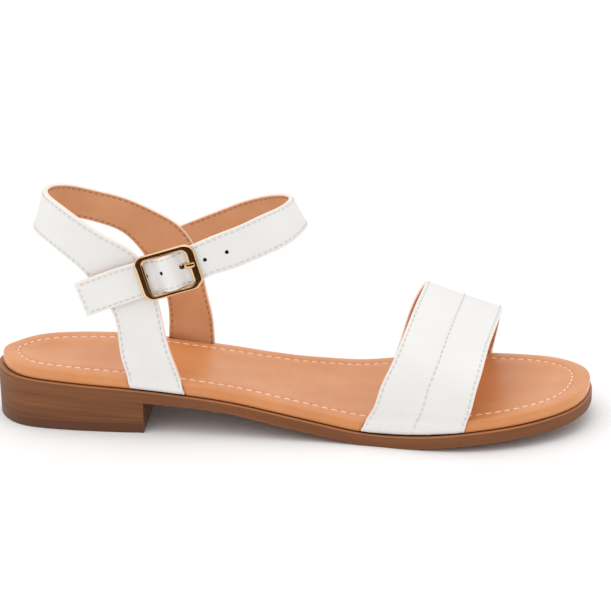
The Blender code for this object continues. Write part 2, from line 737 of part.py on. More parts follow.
def main():
    clear_scene()
    footbed = make_footbed()
    cut_seats(footbed)
    pieces = [make_outsole(), make_heel_block(), make_top_lift(), footbed, make_toe_strap(),
              make_ankle_upper(), make_buckle_frame(), make_buckle_prong(), make_buckle_tab()]
    centre_on_floor(pieces)


main()
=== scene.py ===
"""Looks of an ankle strap sandal: its dressed pieces, their finishes, the studio and the camera.

Sizes are millimetres in the sole's own axes, as in the part's source: x from the back of the
outsole to the toe, y from its middle line to the inner side, z from the floor.
"""
import logging
import math
from dataclasses import dataclass
from enum import Enum
from typing import Callable, Sequence

import bmesh
import bpy
import numpy as np
from mathutils import Matrix, Vector


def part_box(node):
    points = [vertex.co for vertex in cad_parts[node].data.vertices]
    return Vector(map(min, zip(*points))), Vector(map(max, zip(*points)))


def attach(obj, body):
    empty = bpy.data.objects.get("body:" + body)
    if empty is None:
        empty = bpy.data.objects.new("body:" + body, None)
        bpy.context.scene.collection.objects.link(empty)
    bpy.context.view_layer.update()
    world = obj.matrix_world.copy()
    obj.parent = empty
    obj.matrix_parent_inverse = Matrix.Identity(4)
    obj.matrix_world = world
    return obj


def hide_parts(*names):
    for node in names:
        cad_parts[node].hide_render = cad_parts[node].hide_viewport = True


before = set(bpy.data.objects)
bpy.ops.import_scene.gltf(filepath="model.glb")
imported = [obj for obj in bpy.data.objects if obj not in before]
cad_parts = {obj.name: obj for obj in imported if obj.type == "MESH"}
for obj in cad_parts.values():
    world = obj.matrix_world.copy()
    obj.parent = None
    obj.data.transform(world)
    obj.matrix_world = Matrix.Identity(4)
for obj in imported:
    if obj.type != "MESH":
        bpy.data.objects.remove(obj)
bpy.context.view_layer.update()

MM = 0.001
LOG = logging.getLogger("sandal")


class Side(Enum):
    """Sides of the foot: the outer one faces the camera."""

    OUTER = -1
    INNER = 1


class Face(Enum):
    """Faces of a strap: its outside, and the lining that lies on the foot."""

    OUTSIDE = 1
    LINING = -1


# Curves and the sole's form

def cubic(knots: Sequence[float], values: np.ndarray, at: np.ndarray) -> np.ndarray:
    """Natural cubic curve through a table.

    Args:
        knots: Places of the table's rows, rising.
        values: One value or one row of values for each knot.
        at: Places where the curve is read.

    Returns:
        The curve's value, or row of values, at each place.
    """
    knots, values = np.asarray(knots, float), np.asarray(values, float)
    count, step = len(knots), np.diff(knots)
    system, right = np.eye(count), np.zeros(values.shape)
    for i in range(1, count - 1):
        system[i, i - 1:i + 2] = step[i - 1], 2.0 * (step[i - 1] + step[i]), step[i]
        slope = (values[i + 1] - values[i]) / step[i] - (values[i] - values[i - 1]) / step[i - 1]
        right[i] = 6.0 * slope
    bend = np.linalg.solve(system, right)
    i = np.clip(np.searchsorted(knots, at) - 1, 0, count - 2)
    h = step[i]
    a, b = (knots[i + 1] - at) / h, (at - knots[i]) / h
    if values.ndim > 1:
        a, b, h = a[:, None], b[:, None], h[:, None]
    curve = a * values[i] + b * values[i + 1]
    return curve + ((a ** 3 - a) * bend[i] + (b ** 3 - b) * bend[i + 1]) * h ** 2 / 6.0


def smooth(value: np.ndarray, low: float, high: float) -> np.ndarray:
    """0 below low, 1 above high, and an even turn between."""
    share = np.clip((value - low) / (high - low), 0.0, 1.0)
    return share * share * (3.0 - 2.0 * share)


def unit(vectors: np.ndarray) -> np.ndarray:
    """The vectors at length 1."""
    return vectors / np.linalg.norm(vectors, axis=-1, keepdims=True)


def path_reach(path: np.ndarray) -> np.ndarray:
    """Distance along a path at each of its points."""
    return np.concatenate([[0.0], np.cumsum(np.linalg.norm(np.diff(path, axis=0), axis=1))])


@dataclass(frozen=True)
class SoleForm:
    """Outline and levels of the sole, which outsole, heel, footbed and straps share."""

    length: float = 249.0
    thickness: float = 5.1
    shank_thinning: tuple[float, float, float] = (95.0, 32.0, 0.7)  # middle, half length, depth
    gap: float = 0.3
    footbed_inset: float = 1.4
    heel_back_y: float = 0.0
    toe_tip_y: float = 4.8
    outline_rows: tuple = (
        # x, half width to the outer side, half width to the inner side
        (3.0, 11.8, 8.8), (12.0, 22.4, 19.4), (28.0, 27.2, 26.7), (50.0, 29.4, 30.3),
        (85.0, 30.8, 28.5), (120.0, 34.9, 28.9), (155.0, 39.6, 40.6), (185.0, 45.2, 45.8),
        (212.0, 42.3, 39.6), (232.0, 31.8, 32.2), (245.0, 15.6, 19.4))
    top_rows: tuple = (
        # x, height of the outsole's upper face: heel, arch, ball, toe spring
        (0.0, 21.6), (20.0, 20.8), (40.0, 19.7), (62.0, 18.3), (80.0, 16.5), (100.0, 14.3),
        (120.0, 10.9), (140.0, 7.2), (152.0, 5.3), (165.0, 4.9), (180.0, 5.8), (200.0, 7.9),
        (225.0, 9.8), (249.0, 11.6))
    middle_rows: tuple = (
        # x, y of the line that the faces are drawn in to
        (24.0, 0.0), (110.0, -2.5), (185.0, 1.0), (217.0, 2.5))

    def top(self, x: np.ndarray) -> np.ndarray:
        """Height of the outsole's upper face at each x.

        Args:
            x: Places along the sole.

        Returns:
            One height for each.
        """
        table = np.array(self.top_rows)
        shape = np.shape(x)
        level = cubic(table[:, 0], table[:, 1], np.clip(np.ravel(x), 0.0, self.length))
        return level.reshape(shape)

    def under(self, x: np.ndarray) -> np.ndarray:
        """Height of the outsole's lower face at each x.

        Args:
            x: Places along the sole.

        Returns:
            One height for each.
        """
        middle, reach, depth = self.shank_thinning
        near = np.clip(np.abs(x - middle) / reach, 0.0, 1.0)
        thickness = self.thickness - depth * np.cos(near * math.pi / 2.0) ** 2
        return np.maximum(self.top(x) - thickness, 0.0)

    def edge(self, angles: np.ndarray, inset: float | np.ndarray = 0.0) -> np.ndarray:
        """Points of the outline.

        Args:
            angles: From -180 degrees at the toe over the outer side and 0 at the heel to 180.
            inset: How far inside the outline, one number or one for each angle.

        Returns:
            Rows of x, y.
        """
        table = np.array(self.outline_rows)
        turn = np.arccos(1.0 - 2.0 * table[:, 0] / self.length)
        places = np.concatenate([[-math.pi], -turn[::-1], [0.0], turn])
        sides = np.concatenate([[self.toe_tip_y], -table[::-1, 1], [self.heel_back_y], table[:, 2]])
        places = np.concatenate([places - 2.0 * math.pi, places, places + 2.0 * math.pi])
        sides = np.tile(sides, 3)

        def place(angle: np.ndarray) -> np.ndarray:
            """x, y on the outline itself."""
            x = self.length / 2.0 * (1.0 - np.cos(angle))
            return np.column_stack([x, cubic(places, sides, angle)])

        tangent = unit(place(angles + 0.01) - place(angles - 0.01))
        inward = np.column_stack([tangent[:, 1], -tangent[:, 0]])
        return place(angles) + np.reshape(inset, (-1, 1)) * inward

    def round_angles(self, count: int) -> np.ndarray:
        """Angles of a ring's points, in mirrored pairs."""
        return -math.pi + (np.arange(count) + 0.5) * 2.0 * math.pi / count

    def half_width(self, x: np.ndarray, side: np.ndarray, inset: float = 0.0) -> np.ndarray:
        """Distance of the outline from the middle line at each x, on the given sides.

        Args:
            x: Places along the sole.
            side: -1 on the outer side, 1 on the inner one.
            inset: How far inside the outline.

        Returns:
            One distance for each place.
        """
        shape = np.shape(x)
        x, side = np.ravel(x), np.ravel(np.broadcast_to(side, shape))
        angles = side * np.arccos(np.clip(1.0 - 2.0 * x / self.length, -1.0, 1.0))
        return np.abs(self.edge(angles, inset)[:, 1]).reshape(shape)

    def drawn_in(self, points: np.ndarray, share: float) -> np.ndarray:
        """Points moved toward the middle line, to this share of their distance from it.

        Args:
            points: Rows of x, y.
            share: Share of the distance that is left.

        Returns:
            The moved points.
        """
        line = np.array(self.middle_rows)
        middle_x = np.clip(points[:, 0], line[0, 0], line[-1, 0])
        middle = np.column_stack([middle_x, np.interp(middle_x, line[:, 0], line[:, 1])])
        return middle + share * (points - middle)


SOLE = SoleForm()


def frame_shift() -> np.ndarray:
    """Sole coordinates of the frame's origin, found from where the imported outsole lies.

    Returns:
        x, y and z in mm.
    """
    low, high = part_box("outsole")
    outline = SOLE.edge(np.linspace(-math.pi, math.pi, 721))
    centre = (outline.min(axis=0) + outline.max(axis=0)) / 2.0
    return np.array([centre[0] - (low.x + high.x) / 2.0 / MM,
                     centre[1] - (low.y + high.y) / 2.0 / MM, -low.z / MM])


SHIFT = frame_shift()


# Nodes and finishes

def linear(colour: str) -> tuple[float, float, float, float]:
    """Linear RGBA of an sRGB hex colour such as #C98D63.

    Args:
        colour: The hex colour.

    Returns:
        Red, green, blue and alpha.
    """
    channels = [int(colour[i:i + 2], 16) / 255.0 for i in (1, 3, 5)]
    levels = [c / 12.92 if c <= 0.04045 else ((c + 0.055) / 1.055) ** 2.4 for c in channels]
    return (*levels, 1.0)


def set_inputs(tree: bpy.types.NodeTree, node: bpy.types.Node, inputs: dict) -> None:
    """Sets each input to its value, or links it to the output socket given for it.

    Args:
        tree: The nodes.
        node: The node.
        inputs: Value or output socket for each input.
    """
    for key, source in inputs.items():
        if isinstance(source, bpy.types.NodeSocket):
            tree.links.new(source, node.inputs[key])
        else:
            node.inputs[key].default_value = source


def add_node(tree: bpy.types.NodeTree, kind: str, inputs: dict | None = None, out: int | str = 0,
             **settings: str) -> bpy.types.NodeSocket:
    """Adds one node.

    Args:
        tree: The material's nodes.
        kind: Blender's name of the node type, after ShaderNode.
        inputs: Value of each input, or the output socket that feeds it.
        out: The output that is used.
        settings: Properties of the node.

    Returns:
        That output.
    """
    node = tree.nodes.new("ShaderNode" + kind)
    for name, value in settings.items():
        setattr(node, name, value)
    set_inputs(tree, node, inputs or {})
    return node.outputs[out]


# Nearly all values of a noise lie between these
NOISE_LOW, NOISE_HIGH = 0.3, 0.7


def per_mm(size: float) -> float:
    """Scale of a texture whose pattern repeats every so many mm."""
    return 1.0 / (size * MM)


@dataclass(frozen=True)
class Surface:
    """What all finishes have: a real material's name, and patterns that feed one shader."""

    name: str

    def shader(self, tree: bpy.types.NodeTree) -> dict:
        """Adds the finish's patterns, and gives the shader's values and what feeds it."""
        return {}

    def material(self) -> bpy.types.Material:
        """Builds the material.

        Returns:
            The material, with its patterns linked to the shader.
        """
        made = bpy.data.materials.new(self.name)
        made.use_nodes = True
        tree = made.node_tree
        set_inputs(tree, tree.nodes["Principled BSDF"], self.shader(tree))
        return made


@dataclass(frozen=True)
class Leather(Surface):
    """Smooth finished leather: fine pores, faint clouds of tone and a soft sheen."""

    colour: str
    cloud_colour: str
    roughness: float
    pore_mm: float = 0.55       # distance between pores
    pore_depth_mm: float = 0.05
    crease_mm: float = 5.0      # size of the soft unevenness under the finish
    crease_depth_mm: float = 0.10
    cloud_mm: float = 22.0
    cloud_range: tuple[float, float] = (0.35, 0.65)     # of the noise, over which the tone turns
    coat: float = 0.0
    sheen: float = 0.0

    def shader(self, tree: bpy.types.NodeTree) -> dict:
        """Clouds turn the tone and the gloss, pores stand on a soft unevenness.

        Args:
            tree: The material's nodes.

        Returns:
            Values and patterns for the shader's inputs.
        """
        place = add_node(tree, "TexCoord", out="Object")
        cloud = add_node(tree, "TexNoise", {
            "Vector": place, "Scale": per_mm(self.cloud_mm), "Detail": 4.0, "Roughness": 0.6})
        low, high = self.cloud_range
        share = add_node(tree, "MapRange", {0: cloud, 1: low, 2: high, 3: 0.0, 4: 1.0})
        gloss = add_node(tree, "MapRange", {
            0: cloud, 1: NOISE_LOW, 2: NOISE_HIGH, 3: self.roughness - 0.04, 4: self.roughness + 0.04})
        pores = add_node(tree, "TexVoronoi", {
            "Vector": place, "Scale": per_mm(self.pore_mm), "Smoothness": 0.6}, feature="SMOOTH_F1")
        crease = add_node(tree, "TexNoise", {
            "Vector": place, "Scale": per_mm(self.crease_mm), "Detail": 3.0})
        soft = add_node(tree, "Bump", {
            "Strength": 1.0, "Distance": self.crease_depth_mm * MM, "Height": crease})
        return {
            "IOR": 1.5, "Coat Weight": self.coat, "Coat Roughness": 0.3, "Sheen Weight": self.sheen,
            "Sheen Roughness": 0.5, "Roughness": gloss,
            "Base Color": add_node(tree, "Mix", {
                0: share, 6: linear(self.colour), 7: linear(self.cloud_colour)}, 2, data_type="RGBA"),
            "Normal": add_node(tree, "Bump", {
                "Strength": 1.0, "Distance": self.pore_depth_mm * MM, "Height": pores, "Normal": soft})}


@dataclass(frozen=True)
class StackedLeather(Surface):
    """Sanded and stained edge of leather layers: level streaks, almost matt."""

    colour: str
    streak_colour: str
    deep_colour: str
    roughness: float
    streak_mm: float = 0.9       # thickness of a streak
    streak_length_mm: float = 90.0
    layer_mm: float = 3.0        # thickness of one layer of the stack
    relief_mm: float = 0.06
    contrast: float = 1.0
    layer_squeeze: float = 1.6   # how much shorter than the streaks the layers' clouds are
    half_range: float = 0.16     # of the noise round 0.5, over which the tones turn
    deepest: float = 0.75        # share of the deep colour in the darkest layers

    def shader(self, tree: bpy.types.NodeTree) -> dict:
        """Streaks and layers, drawn long and thin by the places stored on the piece.

        Args:
            tree: The material's nodes.

        Returns:
            Values and patterns for the shader's inputs.
        """
        place = add_node(tree, "Attribute", out="Vector", attribute_name="layers")
        along, across = per_mm(self.streak_length_mm), per_mm(self.streak_mm)
        squeezed = add_node(tree, "Mapping", {"Vector": place, "Scale": (along, along, across)})
        streaks = add_node(tree, "TexNoise", {
            "Vector": squeezed, "Scale": 1.0, "Detail": 5.0, "Roughness": 0.65})
        broad = add_node(tree, "Mapping", {
            "Vector": place, "Scale": (*[along * self.layer_squeeze] * 2, per_mm(self.layer_mm))})
        layers = add_node(tree, "TexNoise", {"Vector": broad, "Scale": 1.0, "Detail": 2.0})
        low, high = (0.5 + way * self.half_range / self.contrast for way in (-1.0, 1.0))
        streak_share = add_node(tree, "MapRange", {0: streaks, 1: low, 2: high, 3: 0.0, 4: 1.0})
        layer_share = add_node(tree, "MapRange", {0: layers, 1: low, 2: high, 3: 0.0, 4: self.deepest})
        tone = add_node(tree, "Mix", {
            0: streak_share, 6: linear(self.colour), 7: linear(self.streak_colour)}, 2, data_type="RGBA")
        return {
            "IOR": 1.4,
            "Base Color": add_node(tree, "Mix", {
                0: layer_share, 6: tone, 7: linear(self.deep_colour)}, 2, data_type="RGBA"),
            "Roughness": add_node(tree, "MapRange", {
                0: streaks, 1: NOISE_LOW, 2: NOISE_HIGH, 3: self.roughness - 0.05, 4: self.roughness + 0.08}),
            "Normal": add_node(tree, "Bump", {
                "Strength": 1.0, "Distance": self.relief_mm * MM, "Height": streaks})}


@dataclass(frozen=True)
class Fibre(Surface):
    """Raw or inked fibre, and spun thread: matte, with a fine irregular surface."""

    colour: str
    dark_colour: str
    roughness: float
    fibre_mm: float
    relief_mm: float

    def shader(self, tree: bpy.types.NodeTree) -> dict:
        """Fibres turn the tone and give the relief.

        Args:
            tree: The material's nodes.

        Returns:
            Values and patterns for the shader's inputs.
        """
        fibres = add_node(tree, "TexNoise", {
            "Vector": add_node(tree, "TexCoord", out="Object"), "Scale": per_mm(self.fibre_mm),
            "Detail": 4.0, "Roughness": 0.7})
        return {
            "IOR": 1.5, "Sheen Weight": 0.15, "Sheen Roughness": 0.5, "Roughness": self.roughness,
            "Base Color": add_node(tree, "Mix", {
                0: fibres, 6: linear(self.colour), 7: linear(self.dark_colour)}, 2, data_type="RGBA"),
            "Normal": add_node(tree, "Bump", {
                "Strength": 1.0, "Distance": self.relief_mm * MM, "Height": fibres})}


@dataclass(frozen=True)
class Gilding(Surface):
    """Polished brass under a pale gold plating, a trace duller in places."""

    colour: str
    roughness: float
    wear_mm: float = 2.5        # size of the duller places

    def shader(self, tree: bpy.types.NodeTree) -> dict:
        """Worn places turn the gloss.

        Args:
            tree: The material's nodes.

        Returns:
            Values and patterns for the shader's inputs.
        """
        wear = add_node(tree, "TexNoise", {
            "Vector": add_node(tree, "TexCoord", out="Object"), "Scale": per_mm(self.wear_mm),
            "Detail": 4.0})
        return {
            "Base Color": linear(self.colour), "Metallic": 1.0,
            "Roughness": add_node(tree, "MapRange", {
                0: wear, 1: NOISE_LOW, 2: NOISE_HIGH, 3: self.roughness * 0.8, 4: self.roughness * 1.3})}


@dataclass(frozen=True)
class EvenPaint(Surface):
    """One even colour without a pattern, for the studio."""

    colour: str
    roughness: float

    def shader(self, tree: bpy.types.NodeTree) -> dict:
        """The shader's own values."""
        return {"Base Color": linear(self.colour), "Roughness": self.roughness}


class Finish(Enum):
    """The sandal's finishes, each named for the real material."""

    # Pigmented calf, smooth and almost even, with a low sheen
    WHITE_CALF = Leather("white_calf", "#EAE8E6", "#E5E3E0", 0.42, cloud_mm=35.0, coat=0.1)
    # Sheepskin lining: warm tan, drier than the outside, cloudy from handling
    TAN_LINING = Leather("tan_lining", "#DCA479", "#D2996D", 0.58, pore_mm=0.45, sheen=0.1)
    # Vegetable-tanned sock leather on the footbed, with a soft satin sheen
    TAN_SOCK = Leather("tan_sock", "#DB935B", "#D38951", 0.4, pore_mm=0.5, cloud_mm=28.0,
                       crease_depth_mm=0.14, coat=0.06)
    # Sole leather, its edge stained brown and sanded: almost matt, with faint level streaks
    SOLE_EDGE = StackedLeather("sole_edge_leather", "#8A552F", "#7A4826", "#6E4022", 0.6,
                               streak_mm=1.1, contrast=0.7)
    # The outsole's lip, its rounded top painted paler: a painted highlight, the light line where the lip
    # catches the light
    RUBBED_LIP = StackedLeather("lip_highlight_leather", "#B57B50", "#A66E45", "#9A653E", 0.5, contrast=0.7)
    # Stacked heel: layers of leather whose sanded edges show as level streaks
    HEEL_STACK = StackedLeather("heel_stack_leather", "#8A5631", "#744524", "#653A1D", 0.6)
    # Moulded rubber top lift, a little darker and duller than the stack
    LIFT_RUBBER = Fibre("lift_rubber", "#663A1D", "#583016", 0.75, 0.8, 0.03)
    # Painted edge of the straps: thick cream ink over the cut leather, a pale line round them
    EDGE_INK = Fibre("cream_edge_ink", "#FAEADD", "#F4DCC9", 0.55, 1.2, 0.04)
    # Painted shade: the walls of the punched holes, and the film that closes them, are dark as the shade
    # inside a hole
    PUNCHED = Fibre("hole_shade_fibre", "#4A3A30", "#2E231C", 0.85, 0.3, 0.05)
    # Spun polyester thread, in one colour for each kind of seam: it draws the dashed lines. The white thread
    # is tinted grey: painted shade of the grooves and needle holes it lies in
    WHITE_THREAD = Fibre("shaded_white_thread", "#DCD9D6", "#CDC9C5", 0.6, 0.25, 0.06)
    PEACH_THREAD = Fibre("peach_thread", "#FFEAD8", "#FADCC2", 0.6, 0.25, 0.06)
    BROWN_THREAD = Fibre("brown_thread", "#B98359", "#A06C46", 0.65, 0.25, 0.06)
    # Pale gold plating on brass: bright rims round a band that mirrors the dark card
    GILT = Gilding("pale_gold_plating", "#F0C998", 0.12)

    def made(self) -> bpy.types.Material:
        """The finish's material, built once."""
        return bpy.data.materials.get(self.value.name) or self.value.material()


# Meshes

def link(piece: bpy.types.Object) -> bpy.types.Object:
    """Puts an object in the scene and returns it."""
    bpy.context.scene.collection.objects.link(piece)
    return piece


def axes_at(axes: Sequence[Vector], origin: Vector) -> Matrix:
    """From three axes at an origin to the coordinates that they are given in.

    Args:
        axes: The three axes.
        origin: Where they stand.

    Returns:
        The matrix.
    """
    matrix = Matrix(axes).transposed().to_4x4()
    matrix.translation = origin
    return matrix


def grid_quads(rows: int, size: int) -> np.ndarray:
    """Quads between equal loops of points, a row of them after the other.

    Args:
        rows: Number of loops.
        size: Points in a loop.

    Returns:
        Four indices for each quad.
    """
    j = np.arange(size)
    k = (j + 1) % size
    low = np.arange(rows - 1)[:, None] * size
    quads = np.stack([low + j, low + k, low + size + k, low + size + j], axis=-1)
    return quads.reshape(-1, 4)


def ladder_cap(start: int, count: int) -> np.ndarray:
    """Quads that close a loop of points between mirrored pairs.

    Args:
        start: Index of its first point.
        count: Its number of points.

    Returns:
        Four indices for each quad.
    """
    i = start + np.arange(count // 2 - 1)
    mirror = 2 * start + count - 1 - i
    return np.column_stack([i, i + 1, mirror - 1, mirror])


def tube_faces(rows: int, size: int) -> np.ndarray:
    """Quads between equal loops, then those that close the first loop and the last."""
    return np.concatenate([grid_quads(rows, size), ladder_cap(0, size), ladder_cap((rows - 1) * size, size)])


def make_piece(name: str, points: np.ndarray, faces: np.ndarray, finishes: Sequence[Finish],
               finish_of: np.ndarray | None = None, sharp: float = 60.0) -> bpy.types.Object:
    """Makes one dressed piece, riding on the sandal.

    Args:
        name: Name of the piece.
        points: Sole coordinates of its points.
        faces: Indices of each face's points.
        finishes: The finishes on it.
        finish_of: Index in finishes for each face, or None where there is one finish.
        sharp: Angle in degrees over which an edge stays sharp.

    Returns:
        The piece.
    """
    mesh = bpy.data.meshes.new(name)
    world = (np.asarray(points, float) - SHIFT) * MM
    mesh.from_pydata(world.tolist(), [], [tuple(int(i) for i in face) for face in faces])
    for finish in finishes:
        mesh.materials.append(finish.made())
    if finish_of is not None:
        mesh.polygons.foreach_set("material_index", np.asarray(finish_of, np.int32))
    shape = bmesh.new()         # turns every face outward
    shape.from_mesh(mesh)
    bmesh.ops.recalc_face_normals(shape, faces=shape.faces)
    if shape.calc_volume(signed=True) < 0.0:
        bmesh.ops.reverse_faces(shape, faces=shape.faces)
    shape.to_mesh(mesh)
    shape.free()
    mesh.shade_smooth()
    mesh.set_sharp_from_angle(angle=math.radians(sharp))
    piece = link(bpy.data.objects.new(name, mesh))
    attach(piece, "root")
    return piece


def ring_solid(name: str, rings: Sequence[np.ndarray], finishes: Sequence[Finish],
               finish_of_ring: Callable[[int], int] | None = None, sharp: float = 60.0) -> bpy.types.Object:
    """Closed solid through equal rings, whose first and last ring are capped.

    Args:
        name: Name of the piece.
        rings: Equal loops of points, from one end to the other.
        finishes: The finishes on it.
        finish_of_ring: Gives the index in finishes for the faces above each ring.
        sharp: Angle in degrees over which an edge stays sharp.

    Returns:
        The piece.
    """
    count, levels = len(rings[0]), len(rings)
    chosen = None
    if finish_of_ring is not None:
        by_ring = [finish_of_ring(level) for level in range(levels - 1)]
        cap = len(ladder_cap(0, count))
        chosen = np.concatenate([np.repeat(by_ring, count), np.full(cap, by_ring[0]),
                                 np.full(cap, by_ring[-1])])
    return make_piece(name, np.concatenate(rings), tube_faces(levels, count), finishes, chosen, sharp)


def flat_ring(points: np.ndarray, level: np.ndarray | float) -> np.ndarray:
    """Points of the plan, each lifted to its level."""
    return np.column_stack([points, np.broadcast_to(level, (len(points),))])


# Stitches

@dataclass(frozen=True)
class Thread:
    """Thread of a seam: each stitch is a short arch that dips into its two needle holes."""

    finish: Finish
    pitch: float = 2.6
    width: float = 0.5
    height: float = 0.34
    share: float = 0.78      # length of a stitch over the pitch
    rise: float = 0.14       # how far its middle stands over the leather
    sink: float = 0.2        # how far its ends dip into the needle holes
    tip: float = 0.45        # thickness at its ends over that in its middle
    around: int = 8
    steps: int = 7

    def sew(self, name: str, seams: Sequence[tuple[np.ndarray, np.ndarray]], slot: str) -> bpy.types.Object:
        """Lays the stitches along the seams.

        Args:
            name: Name of the piece.
            seams: Points of each seam on the leather, and the leather's normals there.
            slot: Not used.

        Returns:
            All stitches as one piece.
        """
        around, steps = self.around, np.linspace(0.0, 1.0, self.steps)
        turn = 2.0 * math.pi * np.arange(around) / around
        arch = np.sqrt(np.clip(4.0 * steps * (1.0 - steps), 0.0, 1.0))
        size = self.tip + (1.0 - self.tip) * arch
        height = arch * (self.rise + self.sink) - self.sink
        points, faces, start = [], [], 0
        for path, normals in seams:
            for a, b, up in self.spans(path, normals):
                way = b - a
                side = unit(np.cross(way, up))
                middle = a + steps[:, None] * way + height[:, None] * up
                loop = (np.cos(turn)[None, :, None] * self.width / 2.0 * side
                        + np.sin(turn)[None, :, None] * self.height / 2.0 * up)
                points.append((middle[:, None, :] + size[:, None, None] * loop).reshape(-1, 3))
                faces.append(tube_faces(len(steps), around) + start)
                start += len(steps) * around
        return make_piece(name, np.concatenate(points), np.concatenate(faces), [self.finish])

    def spans(self, path: np.ndarray, normals: np.ndarray) -> list[tuple[np.ndarray, ...]]:
        """Start, end and normal of each stitch along one seam.

        Args:
            path: Points of the seam.
            normals: The leather's normals there.

        Returns:
            One row for each stitch.
        """
        reach = path_reach(path)
        count = max(int(round(reach[-1] / self.pitch)), 1)
        pitch = reach[-1] / count
        spans = []
        for i in range(count):
            ends = (i + 0.5 + np.array([-0.5, 0.5]) * self.share) * pitch
            a, b = (np.array([np.interp(end, reach, path[:, c]) for c in range(3)]) for end in ends)
            up = np.array([np.interp(ends.mean(), reach, normals[:, c]) for c in range(3)])
            spans.append((a, b, unit(up)))
        return spans


# Straps

@dataclass
class Ribbon:
    """Surface of a strap between two edges, given by rows of edge points along it."""

    rows: np.ndarray
    walls: np.ndarray
    lift: Callable[[np.ndarray, np.ndarray], np.ndarray] | None = None
    bow_height: float = 34.0     # height over the sole up to which it takes the sole's curve
    step: float = 0.4            # over which its directions are measured

    def __post_init__(self) -> None:
        """Measures the strap's length through its rows."""
        self.reach = path_reach((self.rows[:, :3] + self.rows[:, 3:]) / 2.0)

    @property
    def length(self) -> float:
        """Length along the middle."""
        return float(self.reach[-1])

    def bow(self, grid: np.ndarray, edges: np.ndarray) -> np.ndarray:
        """Shift that makes the strap follow the sole's outline and level low down.

        Args:
            grid: Points of the strap.
            edges: Its edge points in each row.

        Returns:
            The shift of each point.
        """
        side = np.where(grid[..., 1] < 0.0, -1.0, 1.0)
        level = np.clip(grid[..., 2] - SOLE.top(grid[..., 0]), 0.0, None)
        fade = np.clip(1.0 - level / self.bow_height, 0.0, 1.0) ** 2
        low, high = (np.broadcast_to(edges[:, None, k], side.shape) for k in (0, 3))
        span = high - low
        share = (grid[..., 0] - low) / np.where(np.abs(span) < 1.0, 1.0, span)
        straight = SOLE.half_width(low, side) * (1.0 - share) + SOLE.half_width(high, side) * share
        out = side * (SOLE.half_width(grid[..., 0], side) - straight) * fade
        level_line = SOLE.top(low) * (1.0 - share) + SOLE.top(high) * share
        down = (SOLE.top(grid[..., 0]) - level_line) * fade
        return np.stack([np.zeros(side.shape), out, down], axis=-1)

    def middle(self, along: np.ndarray, share: np.ndarray, inset: np.ndarray) -> np.ndarray:
        """Grid of points on the middle of the wall, before any lift.

        Args:
            along: Distance of each row along the strap.
            share: Share of the width at each column.
            inset: Distance that is added to each column's place.

        Returns:
            The grid.
        """
        edges = cubic(self.reach, self.rows, along)
        width = np.linalg.norm(edges[:, 3:] - edges[:, :3], axis=1)
        place = (share[None, :] + inset[None, :] / width[:, None])[..., None]
        grid = edges[:, None, :3] * (1.0 - place) + edges[:, None, 3:] * place
        return grid + self.bow(grid, edges)

    def surface(self, along: np.ndarray, share: np.ndarray, inset: np.ndarray) -> tuple[np.ndarray, ...]:
        """Middle of the wall as a grid.

        Args:
            along: Distances along the strap, one for each row.
            share: Share of the width from the lower edge, one for each column.
            inset: Distance in mm that is added to each column's place.

        Returns:
            Points, outward normals and half of the wall, each for the whole grid.
        """
        along, share, inset = (np.atleast_1d(np.asarray(a, float)) for a in (along, share, inset))
        grid = self.middle(along, share, inset)
        step = self.step
        way = self.middle(along + step, share, inset) - self.middle(along - step, share, inset)
        across = self.middle(along, share, inset + step) - self.middle(along, share, inset - step)
        normal = unit(np.cross(across, way))
        if self.lift is not None:
            grid = grid + normal * self.lift(grid, along)[..., None]
            ahead = self.lifted(along + step, share, inset, normal)
            behind = self.lifted(along - step, share, inset, normal)
            normal = unit(np.cross(across, ahead - behind))
        wall = np.interp(along, self.reach, self.walls)
        return grid, normal, np.broadcast_to(wall[:, None] / 2.0, grid.shape[:2])

    def lifted(self, along: np.ndarray, share: np.ndarray, inset: np.ndarray,
               normal: np.ndarray) -> np.ndarray:
        """Grid of points near by, raised by the lift along the given normals."""
        grid = self.middle(along, share, inset)
        return grid + normal * self.lift(grid, along)[..., None]

    def line(self, along: np.ndarray, share: float, inset: float, face: Face) -> tuple[np.ndarray, ...]:
        """A line along one face of the strap, as points and normals.

        Args:
            along: Distances along the strap.
            share: Share of the width.
            inset: Distance that is added to it.
            face: The face.

        Returns:
            The line.
        """
        grid, normal, half = self.surface(along, [share], [inset])
        way = face.value
        return (grid + way * half[..., None] * normal)[:, 0], way * normal[:, 0]

    def crossing(self, along: float, shares: np.ndarray, face: Face) -> tuple[np.ndarray, ...]:
        """A line straight across one face of the strap, as points and normals.

        Args:
            along: Distance along the strap.
            shares: Shares of the width.
            face: The face.

        Returns:
            The line.
        """
        grid, normal, half = self.surface([along], shares, np.zeros(len(shares)))
        way = face.value
        return (grid + way * half[..., None] * normal)[0], way * normal[0]


FOOT_TURNS = (
    # The margin under the footbed: how far in from its side, height over the margin, wall
    (6.0, 0.0, 1.4), (3.2, 0.0, 1.4), (0.1, 0.3, 1.4), (-0.6, 1.7, 1.8))


